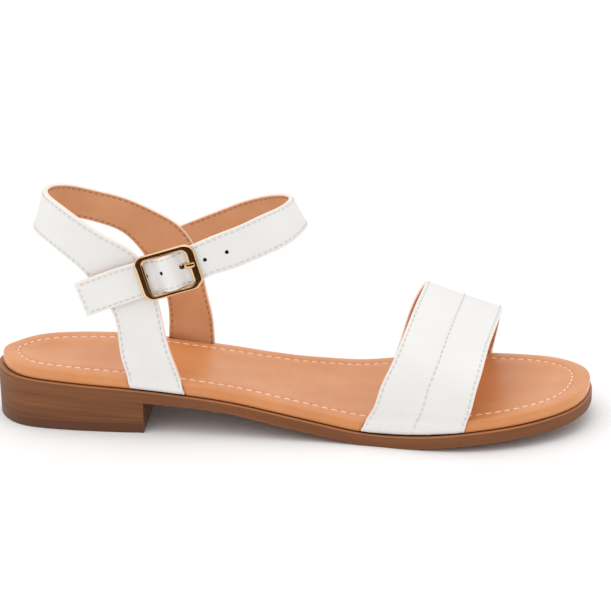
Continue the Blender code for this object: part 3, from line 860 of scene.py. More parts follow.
def strap_foot(table: Sequence[Sequence[float]], wall: float) -> tuple[np.ndarray, np.ndarray]:
    """Adds the ends of a strap that turn in under the footbed.

    Args:
        table: The strap's rows, lower or back edge first.
        wall: Wall of the strap.

    Returns:
        All rows and the wall at each.
    """
    rows = [list(row) for row in table]
    rise = SOLE.gap + FOOT_TURNS[0][2] / 2.0

    def turned(row: list, following: list, inward: float, up: float) -> list:
        """One section of the margin, measured in from the footbed's side.

        Args:
            row: The strap's end row.
            following: The row above it.
            inward: How far in from the footbed's side.
            up: Height over the margin.

        Returns:
            A row of edge points.
        """
        section = []
        for k in (0, 3):
            x, y, z = row[k:k + 3]
            lean = (following[k] - x) / (following[k + 2] - z)
            x -= lean * (z - float(SOLE.top(x)) - rise - up)
            side = -1.0 if y < 0.0 else 1.0
            edge = float(SOLE.half_width(x, side, SOLE.footbed_inset))
            section += [x, side * (edge - inward), float(SOLE.top(x)) + rise + up]
        return section

    start = [turned(rows[0], rows[1], inward, up) for inward, up, _ in FOOT_TURNS]
    end = [turned(rows[-1], rows[-2], inward, up) for inward, up, _ in FOOT_TURNS]
    walls = [turn[2] for turn in FOOT_TURNS]
    return np.array(start + rows + end[::-1]), np.array(walls + [wall] * len(rows) + walls[::-1])


@dataclass
class StrapBody:
    """A strap's leather, lining and inked edges in one closed mesh, with its seams pressed in."""

    ribbon: Ribbon
    stitch_in: float = 1.35       # distance of the edge stitching from the edge
    groove: float = 0.13          # depth that the stitching pulls the leather in
    centre_seam: bool = False
    end_seam: bool = False        # a stitched line across, before the last end
    round_over: float = 0.42      # rounding of the leather at the edges
    row_step: float = 0.65
    edge_steps: tuple[float, ...] = (0.0, 0.1, 0.24, 0.42)
    seam_steps: tuple[float, ...] = (-0.27, 0.0, 0.27, 0.6, 1.4, 2.8)
    centre_steps: tuple[float, ...] = (-0.9, -0.5, -0.25, 0.0, 0.25, 0.5, 0.9)
    lining_press: float = 0.6     # the lining's rounding and grooves over the outside's
    edge_groove: tuple[float, float] = (1.0, 0.3)       # share of the groove's depth, half width
    centre_groove: tuple[float, float] = (1.3, 0.35)
    end_groove: tuple[float, float] = (1.0, 0.4)
    pucker: tuple[float, float] = (0.75, 0.25)  # mean share of the depth, swing with the stitches
    path_step: float = 0.8        # between the points that its seams are sewn along
    end_shares: tuple[float, float] = (0.16, 0.84)      # reach of the seam across its end
    sharp: float = 50.0

    def columns(self) -> tuple[np.ndarray, np.ndarray]:
        """Share and inset of the points across the strap, closer together along the seams.

        Returns:
            One share and one inset for each column.
        """
        near = [*self.edge_steps, 0.75, *(self.stitch_in + d for d in self.seam_steps)]
        centre = self.centre_steps if self.centre_seam else (0.0,)
        columns = [(0.0, d) for d in near] + [(0.34, 0.0), (0.42, 0.0)]
        columns += [(0.5, d) for d in centre] + [(0.58, 0.0), (0.66, 0.0)]
        columns += [(1.0, -d) for d in near[::-1]]
        share, inset = zip(*columns)
        return np.array(share), np.array(inset)

    def pressed(self, low: np.ndarray, high: np.ndarray, ends: np.ndarray) -> np.ndarray:
        """How deep the seams pull the leather in.

        Args:
            low: Distance of each point from the lower edge.
            high: Distance from the upper edge.
            ends: Distance of each row from the last end.

        Returns:
            The depth at each point.
        """
        grooves = [(low - self.stitch_in, self.edge_groove), (high - self.stitch_in, self.edge_groove)]
        if self.centre_seam:
            grooves.append(((low - high) / 2.0, self.centre_groove))
        if self.end_seam:
            grooves.append((ends - self.stitch_in, self.end_groove))
        press = sum(depth * np.exp(-(miss / half) ** 2) for miss, (depth, half) in grooves)
        return self.groove * np.clip(press, 0.0, self.centre_groove[0])

    def build(self, name: str, slot: str) -> bpy.types.Object:
        """Makes the strap's body.

        Args:
            name: Name of the piece.
            slot: Not used.

        Returns:
            The piece.
        """
        last = self.ribbon.length
        along = np.linspace(0.0, last, int(last / self.row_step))
        tips = np.array(self.edge_steps)
        along = np.unique(np.concatenate([along, tips, last - tips]).round(4))
        share, inset = self.columns()
        grid, normal, half = self.ribbon.surface(along, share, inset)
        width = np.linalg.norm(np.diff(grid, axis=1), axis=2).sum(axis=1)[:, None]
        low = share[None, :] * width + inset[None, :]
        high = width - low
        to_end = (last - along)[:, None]
        edge = np.minimum(np.minimum(low, high), np.minimum(along[:, None], to_end))
        part = np.clip(1.0 - edge / self.round_over, 0.0, 1.0)
        rounding = self.round_over * (1.0 - np.sqrt(1.0 - part ** 2))
        mean, swing = self.pucker
        pucker = mean + swing * np.cos(2.0 * math.pi * along / Thread.pitch)[:, None]
        drop = rounding + pucker * self.pressed(low, high, to_end)
        outer = grid + normal * (half - drop)[..., None]
        inner = grid - normal * (half - self.lining_press * drop)[..., None]
        loop = np.concatenate([outer, inner[:, ::-1]], axis=1)
        size, sections = loop.shape[1], len(loop)
        faces = tube_faces(sections, size)
        across = len(share)
        by_column = np.full(size, 2)
        by_column[:across - 1] = 0
        by_column[:2] = by_column[-4:] = 1          # ink over both edges, further on the lining
        by_column[across - 3:across + 3] = 1
        chosen = np.ones(len(faces), int)           # ink on the cut ends too
        chosen[:(sections - 1) * size] = np.tile(by_column, sections - 1)
        return make_piece(name, loop.reshape(-1, 3), faces,
                          [Finish.WHITE_CALF, Finish.EDGE_INK, Finish.TAN_LINING], chosen, self.sharp)

    def seams(self, start: float, end: float, face: Face) -> list[tuple[np.ndarray, ...]]:
        """Its stitched lines on one face.

        Args:
            start: Distance along the strap where the stitching starts.
            end: Distance where it ends.
            face: The face.

        Returns:
            Points and normals of each line.
        """
        along = np.arange(start, end, self.path_step)
        places = [(0.0, self.stitch_in), (1.0, -self.stitch_in)] + [(0.5, 0.0)] * self.centre_seam
        lines = [self.ribbon.line(along, share, inset, face) for share, inset in places]
        if self.end_seam:
            across = np.linspace(*self.end_shares, 12)
            lines.append(self.ribbon.crossing(self.ribbon.length - self.stitch_in, across, face))
        return lines


def above_feet(ribbon: Ribbon, clear: float = 0.6) -> tuple[float, float]:
    """Where the stitching of a strap starts and ends, clear of the turns at its feet."""
    turns = len(FOOT_TURNS)
    return ribbon.reach[turns - 1] + clear, ribbon.reach[-turns] - clear


def sew_faces(strap: str,
              stitched: Sequence[tuple[StrapBody, tuple[float, float]]]) -> list[bpy.types.Object]:
    """Sews a strap's seams, in white outside and in brown on the lining.

    Args:
        strap: Name of the strap.
        stitched: Each of its bodies, and where its stitching starts and ends.

    Returns:
        The stitches outside and those on the lining.
    """
    threads = ((Face.OUTSIDE, Thread(Finish.WHITE_THREAD), "stitches", "white_leather"),
               (Face.LINING, Thread(Finish.BROWN_THREAD, rise=0.1), "lining_stitches", "tan_leather"))
    return [thread.sew(f"{strap}_{name}",
                       [line for body, span in stitched for line in body.seams(*span, face)], slot)
            for face, thread, name, slot in threads]


# Sole unit

@dataclass(frozen=True)
class Outsole:
    """Leather outsole with its lip round the footbed, rounded at both edges."""

    points: int = 440
    lip_round: float = 0.75
    foot_round: float = 0.45
    heel_end: float = 64.5       # behind this x the lower edge stays sharp, flush with the heel
    heel_round: float = 0.1      # share of its rounding that is left there
    arc_steps: int = 4
    side_depths: tuple[float, ...] = (3.9, 3.0, 2.1, 1.3)       # rings of the side, under the top
    seat: tuple = ((1.5, 0.03), (2.2, 0.2))     # inset and depth where the lip ends at the footbed
    inner_inset: float = 4.0
    inner_shares: tuple[float, ...] = (0.12, 0.6, 1.0)          # rings that close both faces

    def build(self) -> list[bpy.types.Object]:
        """Makes the outsole.

        Returns:
            Its one piece.
        """
        angles = SOLE.round_angles(self.points)
        inner = [SOLE.drawn_in(SOLE.edge(angles, self.inner_inset), share) for share in self.inner_shares]
        arc = np.linspace(0.0, math.pi / 2.0, self.arc_steps)
        at_heel = smooth(SOLE.edge(angles)[:, 0], self.heel_end - 1.0, self.heel_end + 1.0)
        rounded = self.foot_round * np.maximum(at_heel, self.heel_round)
        low = [(plan, 0.0) for plan in inner]
        low += [(SOLE.edge(angles, rounded * (1.0 - math.sin(turn))),
                 self.foot_round * (1.0 - math.cos(turn))) for turn in arc]
        side = [(0.0, depth) for depth in self.side_depths]
        lip = [(self.lip_round * (1.0 - math.cos(turn)), self.lip_round * (1.0 - math.sin(turn)))
               for turn in arc]
        high = [(SOLE.edge(angles, inset), depth) for inset, depth in (*side, *lip, *self.seat)]
        high += [(plan, 0.0) for plan in inner[::-1]]
        rings = [flat_ring(plan, SOLE.under(plan[:, 0]) + height) for plan, height in low]
        rings += [flat_ring(plan, SOLE.top(plan[:, 0]) - depth) for plan, depth in high]
        # Painted highlight: the faces from the lip's round to the seat are paler, not those of the side
        start = len(low) + len(side)
        highlight_rings = range(start + 1, start + len(lip) + len(self.seat) - 1)
        piece = ring_solid("outsole_leather", rings, [Finish.SOLE_EDGE, Finish.RUBBED_LIP],
                           lambda ring: int(ring in highlight_rings))
        places = np.concatenate(rings)
        places[:, 2] -= SOLE.top(places[:, 0])
        layer_attribute(piece, places)
        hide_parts("outsole")
        return [piece]


def layer_attribute(piece: bpy.types.Object, places: np.ndarray) -> None:
    """Stores where each point lies in its stack of layers, for the streaks to follow.

    Args:
        piece: The piece.
        places: x, y and level in the stack of each point, in mm.
    """
    layers = piece.data.attributes.new("layers", "FLOAT_VECTOR", "POINT")
    layers.data.foreach_set("vector", (places * MM).astype(np.float32).ravel())


@dataclass(frozen=True)
class Heel:
    """Stacked heel with its rubber top lift."""

    breast_x: float = 64.5
    inset: float = 0.08          # of its head from the sole's outline
    taper: float = 0.35          # how much further in its foot stands
    stack_height: float = 12.5   # from which its streaks are measured
    levels: int = 9
    lift_height: float = 4.0
    lift_inset: float = 0.48
    joint: float = 0.06          # bevel of the lift where it meets the stack
    edge: float = 0.3            # bevel at the tread
    points: int = 150
    inner_share: float = 0.5     # of the loops that close its head and foot
    sharp: float = 35.0

    def plan(self, inset: float) -> np.ndarray:
        """U of the heel from its breast, round the back and to the breast again.

        Args:
            inset: How far inside the sole's outline.

        Returns:
            Rows of x, y.
        """
        turn = math.acos(1.0 - 2.0 * self.breast_x / SOLE.length)
        half = SOLE.edge(np.linspace(-turn, turn, self.points), inset)
        half[[0, -1], 0] = self.breast_x
        return half

    def inner(self, plan: np.ndarray) -> np.ndarray:
        """The plan drawn in, its ends kept on the breast.

        Args:
            plan: Rows of x, y.

        Returns:
            The drawn rows.
        """
        drawn = SOLE.drawn_in(plan, self.inner_share)
        drawn[[0, -1], 0] = self.breast_x
        return drawn

    def build(self) -> list[bpy.types.Object]:
        """Makes the stack and the top lift.

        Returns:
            Both pieces.
        """
        foot = self.lift_height
        head = self.plan(self.inset)
        sides = [(share, self.plan(self.inset + self.taper * (1.0 - share)))
                 for share in np.linspace(0.0, 1.0, self.levels)]
        loops = [(0.0, self.inner(sides[0][1])), *sides, (1.0, self.inner(head))]
        rings = [flat_ring(plan, foot + share * (SOLE.under(plan[:, 0]) - foot)) for share, plan in loops]
        block = ring_solid("heel_stack", rings, [Finish.HEEL_STACK], sharp=self.sharp)
        layer_attribute(block, np.concatenate([
            flat_ring(plan, -SOLE.thickness - (1.0 - share) * self.stack_height) for share, plan in loops]))
        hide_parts("heel_block")
        wall = self.lift_inset
        rings = [flat_ring(self.plan(inset), level) for inset, level in (
            (wall + self.edge, 0.0), (wall, self.edge), (wall, foot - self.joint), (wall + self.joint, foot))]
        lift = ring_solid("heel_top_lift", rings, [Finish.LIFT_RUBBER], sharp=self.sharp)
        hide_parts("top_lift")
        return [block, lift]


@dataclass(frozen=True)
class StrapSeat:
    """Where a strap goes down past the footbed's side: its two edges and their lean."""

    side: Side
    back: tuple[float, float, float]      # x, z and lean of the rear edge
    front: tuple[float, float, float]
    fade: tuple[float, float] = (0.1, 0.7)      # how far outside and inside its edges it ends

    @staticmethod
    def of(row: Sequence[float], following: Sequence[float]) -> "StrapSeat":
        """Seat of a strap end, from its last row and the one above.

        Args:
            row: The strap's last row.
            following: The row above it.

        Returns:
            The seat.
        """
        edges = []
        for k in (0, 3):
            lean = (following[k] - row[k]) / (following[k + 2] - row[k + 2])
            edges.append((row[k], row[k + 2], lean))
        edges.sort()
        return StrapSeat(Side.OUTER if row[1] < 0.0 else Side.INNER, edges[0], edges[1])

    def share(self, points: np.ndarray, level: np.ndarray) -> np.ndarray:
        """1 where the strap covers the footbed's side at this level, 0 clear of it.

        Args:
            points: Points of the footbed's side.
            level: Height of each.

        Returns:
            A share for each point.
        """
        x = points[:, 0]
        back, front = (edge[0] + edge[2] * (level - edge[1]) for edge in (self.back, self.front))
        out, into = self.fade
        inside = smooth(x, back - out, back + into) * (1.0 - smooth(x, front - into, front + out))
        return inside * (np.sign(points[:, 1]) == self.side.value)


@dataclass(frozen=True)
class Footbed:
    """Padded insole wrapped in tan leather, with a line of stitches inside its rim."""

    seats: tuple[StrapSeat, ...]
    thickness: float = 4.8
    rim: float = 1.5             # rounding of the upper edge
    dish: float = 0.9            # depth of its hollow in the middle
    dish_turn: float = 0.55      # share of the way to the middle at which it is full
    dish_shares: tuple[float, ...] = (0.94, 0.86, 0.76, 0.64, 0.5, 0.36, 0.22, 0.1)
    seam_inset: float = 7.0
    stitch_level: float = -0.475     # of the stitches, over the rim
    points: int = 900
    path_points: int = 1600      # of the line that the stitches are sewn along
    under_shares: tuple[float, float] = (0.12, 0.6)      # rings that close it from below
    sharp: float = 75.0
    seat_room: float = 2.6       # how far it stands in behind a strap
    room_fade: float = 0.42      # how fast that ends further in
    heel_inset: tuple[float, float] = (0.8, 22.0)    # how much further in behind, up to this x
    toe_inset: tuple[float, float] = (-0.5, 225.0)   # the same at the toe, from this x
    side_rows: tuple = (
        # inset, height over the sole: from underneath and up the wrapped side
        (4.0, -0.1), (0.9, -0.1), (0.4, 0.0), (0.12, 0.35), (0.0, 1.1), (0.0, 2.4))
    border_rows: tuple = (
        # inset, height over the rim: the padded border
        (2.4, 0.1), (3.6, 0.16), (4.8, 0.1), (5.8, -0.05))
    seam_rows: tuple = (
        # distance from the seam, height over the rim: leather that the stitches press in
        (-0.6, -0.2), (-0.3, -0.45), (0.0, -0.62), (0.3, -0.45), (0.65, -0.16), (1.4, -0.08),
        (2.6, -0.14))
    thread: Thread = Thread(Finish.PEACH_THREAD, pitch=4.0, width=0.72, height=0.5, share=0.8, rise=0.18)

    def profile(self) -> list[tuple[float, float]]:
        """Inset and height of the wrapped side, the rim, the padded border and the seam.

        Returns:
            One pair for each ring.
        """
        rim, top = self.rim, self.thickness
        arc = np.radians(np.arange(0.0, 91.0, 18.0))
        rows = [*self.side_rows]
        rows += [(rim * (1.0 - math.cos(turn)), top - rim * (1.0 - math.sin(turn))) for turn in arc]
        rows += [(inset, top + rise) for inset, rise in self.border_rows]
        return rows + [(self.seam_inset + inset, top + rise) for inset, rise in self.seam_rows]

    def end_inset(self, angles: np.ndarray) -> np.ndarray:
        """The footbed stands further in behind the heel and less at the toe.

        Args:
            angles: Angles round the sole.

        Returns:
            The inset that is added at each.
        """
        x = SOLE.edge(angles)[:, 0]
        (heel, heel_x), (toe, toe_x) = self.heel_inset, self.toe_inset
        return heel * (1.0 - smooth(x, 0.0, heel_x)) + toe * smooth(x, toe_x, SOLE.length)

    def ring(self, angles: np.ndarray, inset: float, height: float, share: float = 1.0) -> np.ndarray:
        """One loop, drawn in where a strap passes the side.

        Args:
            angles: Angles of its points.
            inset: How far in from the footbed's side.
            height: Height over the sole.
            share: Share of the distance from the middle line.

        Returns:
            The loop.
        """
        stands_in = SOLE.footbed_inset + inset + self.end_inset(angles)
        plan = SOLE.edge(angles, stands_in)
        level = SOLE.top(plan[:, 0]) + SOLE.gap + height
        covered = sum(seat.share(plan, level) for seat in self.seats)
        room = covered * max(0.0, self.seat_room - self.room_fade * inset)
        plan = SOLE.drawn_in(SOLE.edge(angles, stands_in + room), share)
        return flat_ring(plan, SOLE.top(plan[:, 0]) + SOLE.gap + height)

    def build(self) -> list[bpy.types.Object]:
        """Makes the footbed and its stitches.

        Returns:
            Both pieces.
        """
        angles = SOLE.round_angles(self.points)
        under = self.side_rows[0][0]
        rings = [self.ring(angles, under, 0.0, share) for share in self.under_shares]
        rings += [self.ring(angles, inset, height) for inset, height in self.profile()]
        inset, height = self.profile()[-1]
        for share in self.dish_shares:
            sunk = self.dish * float(smooth(np.array(1.0 - share), 0.0, self.dish_turn))
            rings.append(self.ring(angles, inset, height - sunk, share))
        piece = ring_solid("footbed_sock", rings, [Finish.TAN_SOCK], sharp=self.sharp)
        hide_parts("footbed")
        path = SOLE.edge(np.linspace(-math.pi, math.pi, self.path_points),
                         SOLE.footbed_inset + self.seam_inset)
        x = path[:, 0]
        points = flat_ring(path, SOLE.top(x) + SOLE.gap + self.thickness + self.stitch_level)
        rise = SOLE.top(x + 0.5) - SOLE.top(x - 0.5)        # over one millimetre
        normals = np.column_stack([-rise, np.zeros(len(rise)), np.ones(len(rise))])
        stitches = self.thread.sew("footbed_stitches", [(points, normals)], "tan_leather")
        return [piece, stitches]


# Upper

TOE_STRAP_ROWS = (
    # back x, y, z, front x, y, z
    (157.3, -37.4, 12.0, 197.3, -43.6, 13.0), (159.5, -37.9, 16.2, 198.7, -43.8, 17.2),
    (162.0, -37.0, 23.6, 200.4, -42.2, 23.9), (165.9, -33.5, 31.6, 202.6, -37.2, 30.4),
    (169.6, -27.0, 39.0, 204.9, -28.0, 36.6), (173.0, -17.5, 46.0, 207.0, -17.0, 39.6),
    (176.2, -5.0, 51.0, 209.2, -4.5, 41.4), (178.6, 8.0, 53.0, 210.8, 8.0, 41.6),
    (178.6, 19.0, 50.9, 211.3, 20.0, 39.5), (176.3, 27.5, 45.2, 211.0, 30.5, 35.3),
    (172.5, 34.0, 35.2, 210.2, 37.5, 27.6), (169.2, 38.2, 23.5, 208.9, 42.0, 19.8),
    (167.2, 39.6, 16.2, 208.0, 43.0, 14.8))

HEEL_STRAP_ROWS = (
    # lower x, y, z, upper x, y, z
    (58.0, -27.8, 24.6, 80.2, -28.2, 22.6), (56.2, -27.8, 31.5, 77.6, -28.7, 30.9),
    (54.9, -27.5, 42.0, 74.6, -28.7, 42.0), (53.2, -27.3, 50.5, 72.6, -28.2, 53.0),
    (49.2, -26.7, 58.6, 69.0, -27.2, 65.0), (44.2, -25.8, 65.0, 62.5, -26.1, 76.2),
    (37.8, -24.2, 70.7, 52.7, -25.3, 82.0), (31.4, -21.2, 75.0, 42.0, -24.0, 88.4),
    (25.0, -15.8, 78.2, 31.9, -19.3, 94.2), (20.0, -8.5, 79.5, 25.2, -10.5, 96.2),
    (18.0, 0.5, 79.6, 23.0, 0.5, 96.0), (19.6, 9.5, 79.3, 25.0, 11.0, 94.6),
    (24.5, 16.8, 78.4, 31.0, 18.6, 92.3), (32.0, 21.3, 77.2, 40.5, 23.6, 88.7),
    (41.1, 24.4, 74.1, 52.0, 26.0, 84.9), (50.5, 26.5, 69.4, 64.0, 27.0, 79.2),
    (58.2, 27.3, 60.8, 74.2, 27.3, 72.9), (65.0, 27.9, 49.5, 81.9, 27.9, 60.5),
    (68.3, 28.2, 39.5, 85.4, 28.1, 43.6), (68.9, 28.4, 30.1, 87.9, 28.3, 30.6),
    (68.7, 28.3, 23.6, 88.5, 27.9, 22.0))

ANKLE_STRAP_ROWS = (
    # lower x, y, z, upper x, y, z, from the seam on the inner side to the buckle
    (73.0, 27.7, 56.4, 68.0, 27.2, 69.6), (82.0, 28.1, 60.2, 76.5, 27.3, 73.4),
    (90.6, 27.9, 63.6, 85.2, 26.7, 77.2), (99.6, 26.9, 67.2, 94.4, 25.4, 81.3),
    (108.4, 24.4, 71.0, 103.0, 22.9, 85.2), (117.0, 20.2, 74.8, 111.4, 18.7, 88.5),
    (124.2, 13.8, 77.9, 118.2, 13.0, 90.9), (129.2, 5.6, 80.1, 122.9, 5.4, 92.4),
    (130.1, -3.2, 80.9, 123.2, -3.0, 92.6), (127.2, -11.8, 79.4, 119.6, -10.6, 91.8),
    (120.4, -19.2, 76.6, 112.9, -17.6, 90.3), (111.0, -25.2, 73.8, 104.6, -23.4, 87.6),
    (101.4, -28.8, 70.7, 96.6, -27.0, 85.2))


def strap_seats(rows: Sequence[Sequence[float]]) -> tuple[StrapSeat, StrapSeat]:
    """Where both ends of a strap pass the footbed."""
    return StrapSeat.of(rows[0], rows[1]), StrapSeat.of(rows[-1], rows[-2])


@dataclass(frozen=True)
class ToeStrap:
    """Broad forefoot strap with a stitched seam down its middle."""

    wall: float = 2.0

    def seats(self) -> tuple[StrapSeat, StrapSeat]:
        """Where its ends pass the footbed."""
        return strap_seats(TOE_STRAP_ROWS)

    def build(self) -> list[bpy.types.Object]:
        """Makes the strap and its stitches on both faces.

        Returns:
            The three pieces.
        """
        body = StrapBody(Ribbon(*strap_foot(TOE_STRAP_ROWS, self.wall)), centre_seam=True)
        piece = body.build("toe_strap_leather", "white_leather")
        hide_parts("toe_strap")
        return [piece, *sew_faces("toe_strap", [(body, above_feet(body.ribbon))])]


@dataclass(frozen=True)
class BucklePlace:
    """The buckle's own axes: along the strap to the toe, up across it, and outward."""

    centre: tuple[float, float, float] = (76.8, -30.6, 70.1)
    rise: float = 16.8
    lean: float = 2.5

    def matrix(self) -> Matrix:
        """From the buckle's axes to sole coordinates.

        Returns:
            The matrix.
        """
        rise, lean = math.radians(self.rise), math.radians(self.lean)
        along = Vector((math.cos(rise), 0.0, math.sin(rise)))
        outward = Vector((0.0, -math.cos(lean), math.sin(lean)))
        across = outward.cross(along).normalized()
        return axes_at((along, across, along.cross(across).normalized()), Vector(self.centre))

    def to_sole(self, points: np.ndarray) -> np.ndarray:
        """Sole coordinates of points along, across and outward at the buckle."""
        turn = np.array(self.matrix())
        return np.asarray(points, float) @ turn[:3, :3].T + turn[:3, 3]

    def local(self, points: np.ndarray) -> np.ndarray:
        """Along, across and outward at the buckle of points in sole coordinates."""
        turn = np.array(self.matrix())
        return (points - turn[:3, 3]) @ turn[:3, :3]


@dataclass(frozen=True)
class AnkleUpper:
    """Heel strap and ankle strap, sewn to each other on the inner side."""

    place: BucklePlace
    wall: float = 2.0
    ankle_wall: float = 1.8
    sink: float = -0.4           # outward place of its wall's middle beside the centre bar
    climb: float = 3.4           # how far it rises over the bar
    climb_reach: float = 6.6
    hidden: float = 11.5         # length between the heel strap's layers, without stitches
    end_gap: float = 1.6         # from the end of the edge stitching to the free end
    skived: tuple[float, ...] = (1.2, 1.25, 1.6)     # its wall between the heel strap's layers
    holes: tuple[float, ...] = (-9.4, -2.1, 15.5, 24.3)
    hole_level: float = 0.8
    hole_radii: tuple[float, float] = (0.82, 0.6)
    hole_depths: tuple[float, float] = (1.35, 0.3)      # from the outside and from the lining
    hole_points: int = 24
    clear: float = 1.0           # how far off the leather a punch starts
    slot: tuple[float, float, float] = (6.85, 4.1, 2.4)     # its place, length and width
    at_buckle: tuple = (
        # along, lower, upper
        (14.5, -6.4, 8.3), (10.6, -7.3, 7.8), (6.8, -7.6, 7.5), (3.5, -7.38, 7.35), (0.0, -7.38, 7.3),
        (-3.5, -7.38, 7.3), (-6.8, -7.6, 7.3), (-10.6, -7.4, 7.2), (-15.0, -7.5, 7.2))
    free_end: tuple[float, ...] = (42.8, -29.0, 50.3, 37.7, -28.8, 64.0)
    through: tuple[float, float] = (-5.0, 6.0)      # levels between which the slot is cut

    def seats(self) -> tuple[StrapSeat, StrapSeat]:
        """Where the heel strap's ends pass the footbed."""
        return strap_seats(HEEL_STRAP_ROWS)

    def lift(self, grid: np.ndarray, along: np.ndarray) -> np.ndarray:
        """Rise of the ankle strap over the centre bar."""
        near = np.clip(np.abs(self.place.local(grid)[..., 0]) / self.climb_reach, 0.0, 1.0)
        return np.where(grid[..., 1] < 0.0, self.climb * np.cos(near * math.pi / 2.0) ** 2, 0.0)

    def ankle_ribbon(self) -> Ribbon:
        """The ankle strap's surface, through the buckle and on to the free end.

        Returns:
            The surface.
        """
        rows = [list(row) for row in ANKLE_STRAP_ROWS]
        for along, lower, upper in self.at_buckle:
            pair = self.place.to_sole([(along, lower, self.sink), (along, upper, self.sink)])
            rows.append([*pair[0], *pair[1]])
        rows.append(list(self.free_end))
        walls = np.full(len(rows), self.ankle_wall)
        walls[:len(self.skived)] = self.skived
        return Ribbon(np.array(rows), walls, self.lift)

    def on_strap(self, ribbon: Ribbon, along: float) -> tuple[np.ndarray, ...]:
        """Middle, normal and way of the strap at a hole, given its distance from the bar.

        Args:
            ribbon: The strap's surface.
            along: Distance from the bar, along the buckle.

        Returns:
            The three vectors.
        """
        reach = np.arange(ribbon.length * 0.6, ribbon.length, 0.1)      # its outer part, finely
        shares = np.linspace(0.3, 0.7, 61)
        grid, normal, _ = ribbon.surface(reach, shares, np.zeros(len(shares)))
        local = self.place.local(grid)
        miss = (local[..., 0] - along) ** 2 + (local[..., 1] - self.hole_level) ** 2
        i, j = np.unravel_index(np.argmin(miss), miss.shape)
        way = grid[min(i + 1, len(reach) - 1), j] - grid[i - 1, j]
        return grid[i, j], normal[i, j], unit(way)

    def punches(self, ribbon: Ribbon) -> list[list[np.ndarray]]:
        """Rings of each punch: blind holes, closed by a film painted dark as the shade inside them, and the
        slot.

        Args:
            ribbon: The strap's surface.

        Returns:
            The loops of each punch.
        """
        around = np.linspace(0.0, 2.0 * math.pi, self.hole_points, endpoint=False)
        wide, narrow = self.hole_radii
        half, (deep, shallow) = self.ankle_wall / 2.0, self.hole_depths
        punches = []
        for along in self.holes:
            middle, normal, way = self.on_strap(ribbon, along)
            across = np.cross(normal, way)
            for levels in (((narrow, half - deep), (wide, half), (wide, half + self.clear)),
                           ((wide, -half - self.clear), (wide, -half), (narrow, -half + shallow))):
                punches.append([middle + level * normal + radius * (
                    np.cos(around)[:, None] * way + np.sin(around)[:, None] * across)
                    for radius, level in levels])
        place, length, width = self.slot
        x = place + width / 2.0 * np.cos(around) + (length - width) / 2.0 * np.sign(np.cos(around).round(6))
        y = self.hole_level + width / 2.0 * np.sin(around)
        punches.append([self.place.to_sole(np.column_stack([x, y, np.full(len(x), level)]))
                        for level in self.through])
        return punches

    def punch(self, strap: bpy.types.Object, ribbon: Ribbon) -> None:
        """Cuts the holes for the prong, their walls painted dark as the shade inside them.

        Args:
            strap: The strap's piece.
            ribbon: Its surface.
        """
        # Painted shade on the walls of the holes and the slot
        strap.data.materials.append(Finish.PUNCHED.made())
        index = len(strap.data.materials) - 1
        shape = bmesh.new()
        for loops in self.punches(ribbon):
            rings = [[shape.verts.new((p - SHIFT) * MM) for p in points] for points in loops]
            for low, high in zip(rings, rings[1:]):
                for i in range(len(low)):
                    j = (i + 1) % len(low)
                    shape.faces.new((low[i], low[j], high[j], high[i]))
            shape.faces.new(rings[0][::-1])
            shape.faces.new(rings[-1])
        bmesh.ops.recalc_face_normals(shape, faces=shape.faces)
        for face in shape.faces:
            face.material_index = index
        mesh = bpy.data.meshes.new("hole_punches")
        shape.to_mesh(mesh)
        shape.free()
        for _ in range(index + 1):      # as many slots as the strap, so that the index carries over
            mesh.materials.append(Finish.PUNCHED.made())
        tool = link(bpy.data.objects.new("hole_punches", mesh))
        cut = strap.modifiers.new("punch", "BOOLEAN")
        cut.operation, cut.solver, cut.object, cut.material_mode = "DIFFERENCE", "EXACT", tool, "INDEX"
        evaluated = strap.evaluated_get(bpy.context.evaluated_depsgraph_get())
        punched = bpy.data.meshes.new_from_object(evaluated)
        strap.modifiers.remove(cut)
        strap.data = punched
        bpy.data.objects.remove(tool, do_unlink=True)

    def build(self) -> list[bpy.types.Object]:
        """Makes both straps and every stitch on them.

        Returns:
            The four pieces.
        """
        heel = StrapBody(Ribbon(*strap_foot(HEEL_STRAP_ROWS, self.wall)))
        heel_piece = heel.build("heel_strap_leather", "white_leather")
        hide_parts("ankle_upper")
        ankle = StrapBody(self.ankle_ribbon(), end_seam=True)
        ankle_piece = ankle.build("ankle_strap_leather", "white_leather")
        self.punch(ankle_piece, ankle.ribbon)
        return [heel_piece, ankle_piece, *sew_faces("ankle_upper", [
            (heel, above_feet(heel.ribbon)), (ankle, (self.hidden, ankle.ribbon.length - self.end_gap))])]


# Buckle

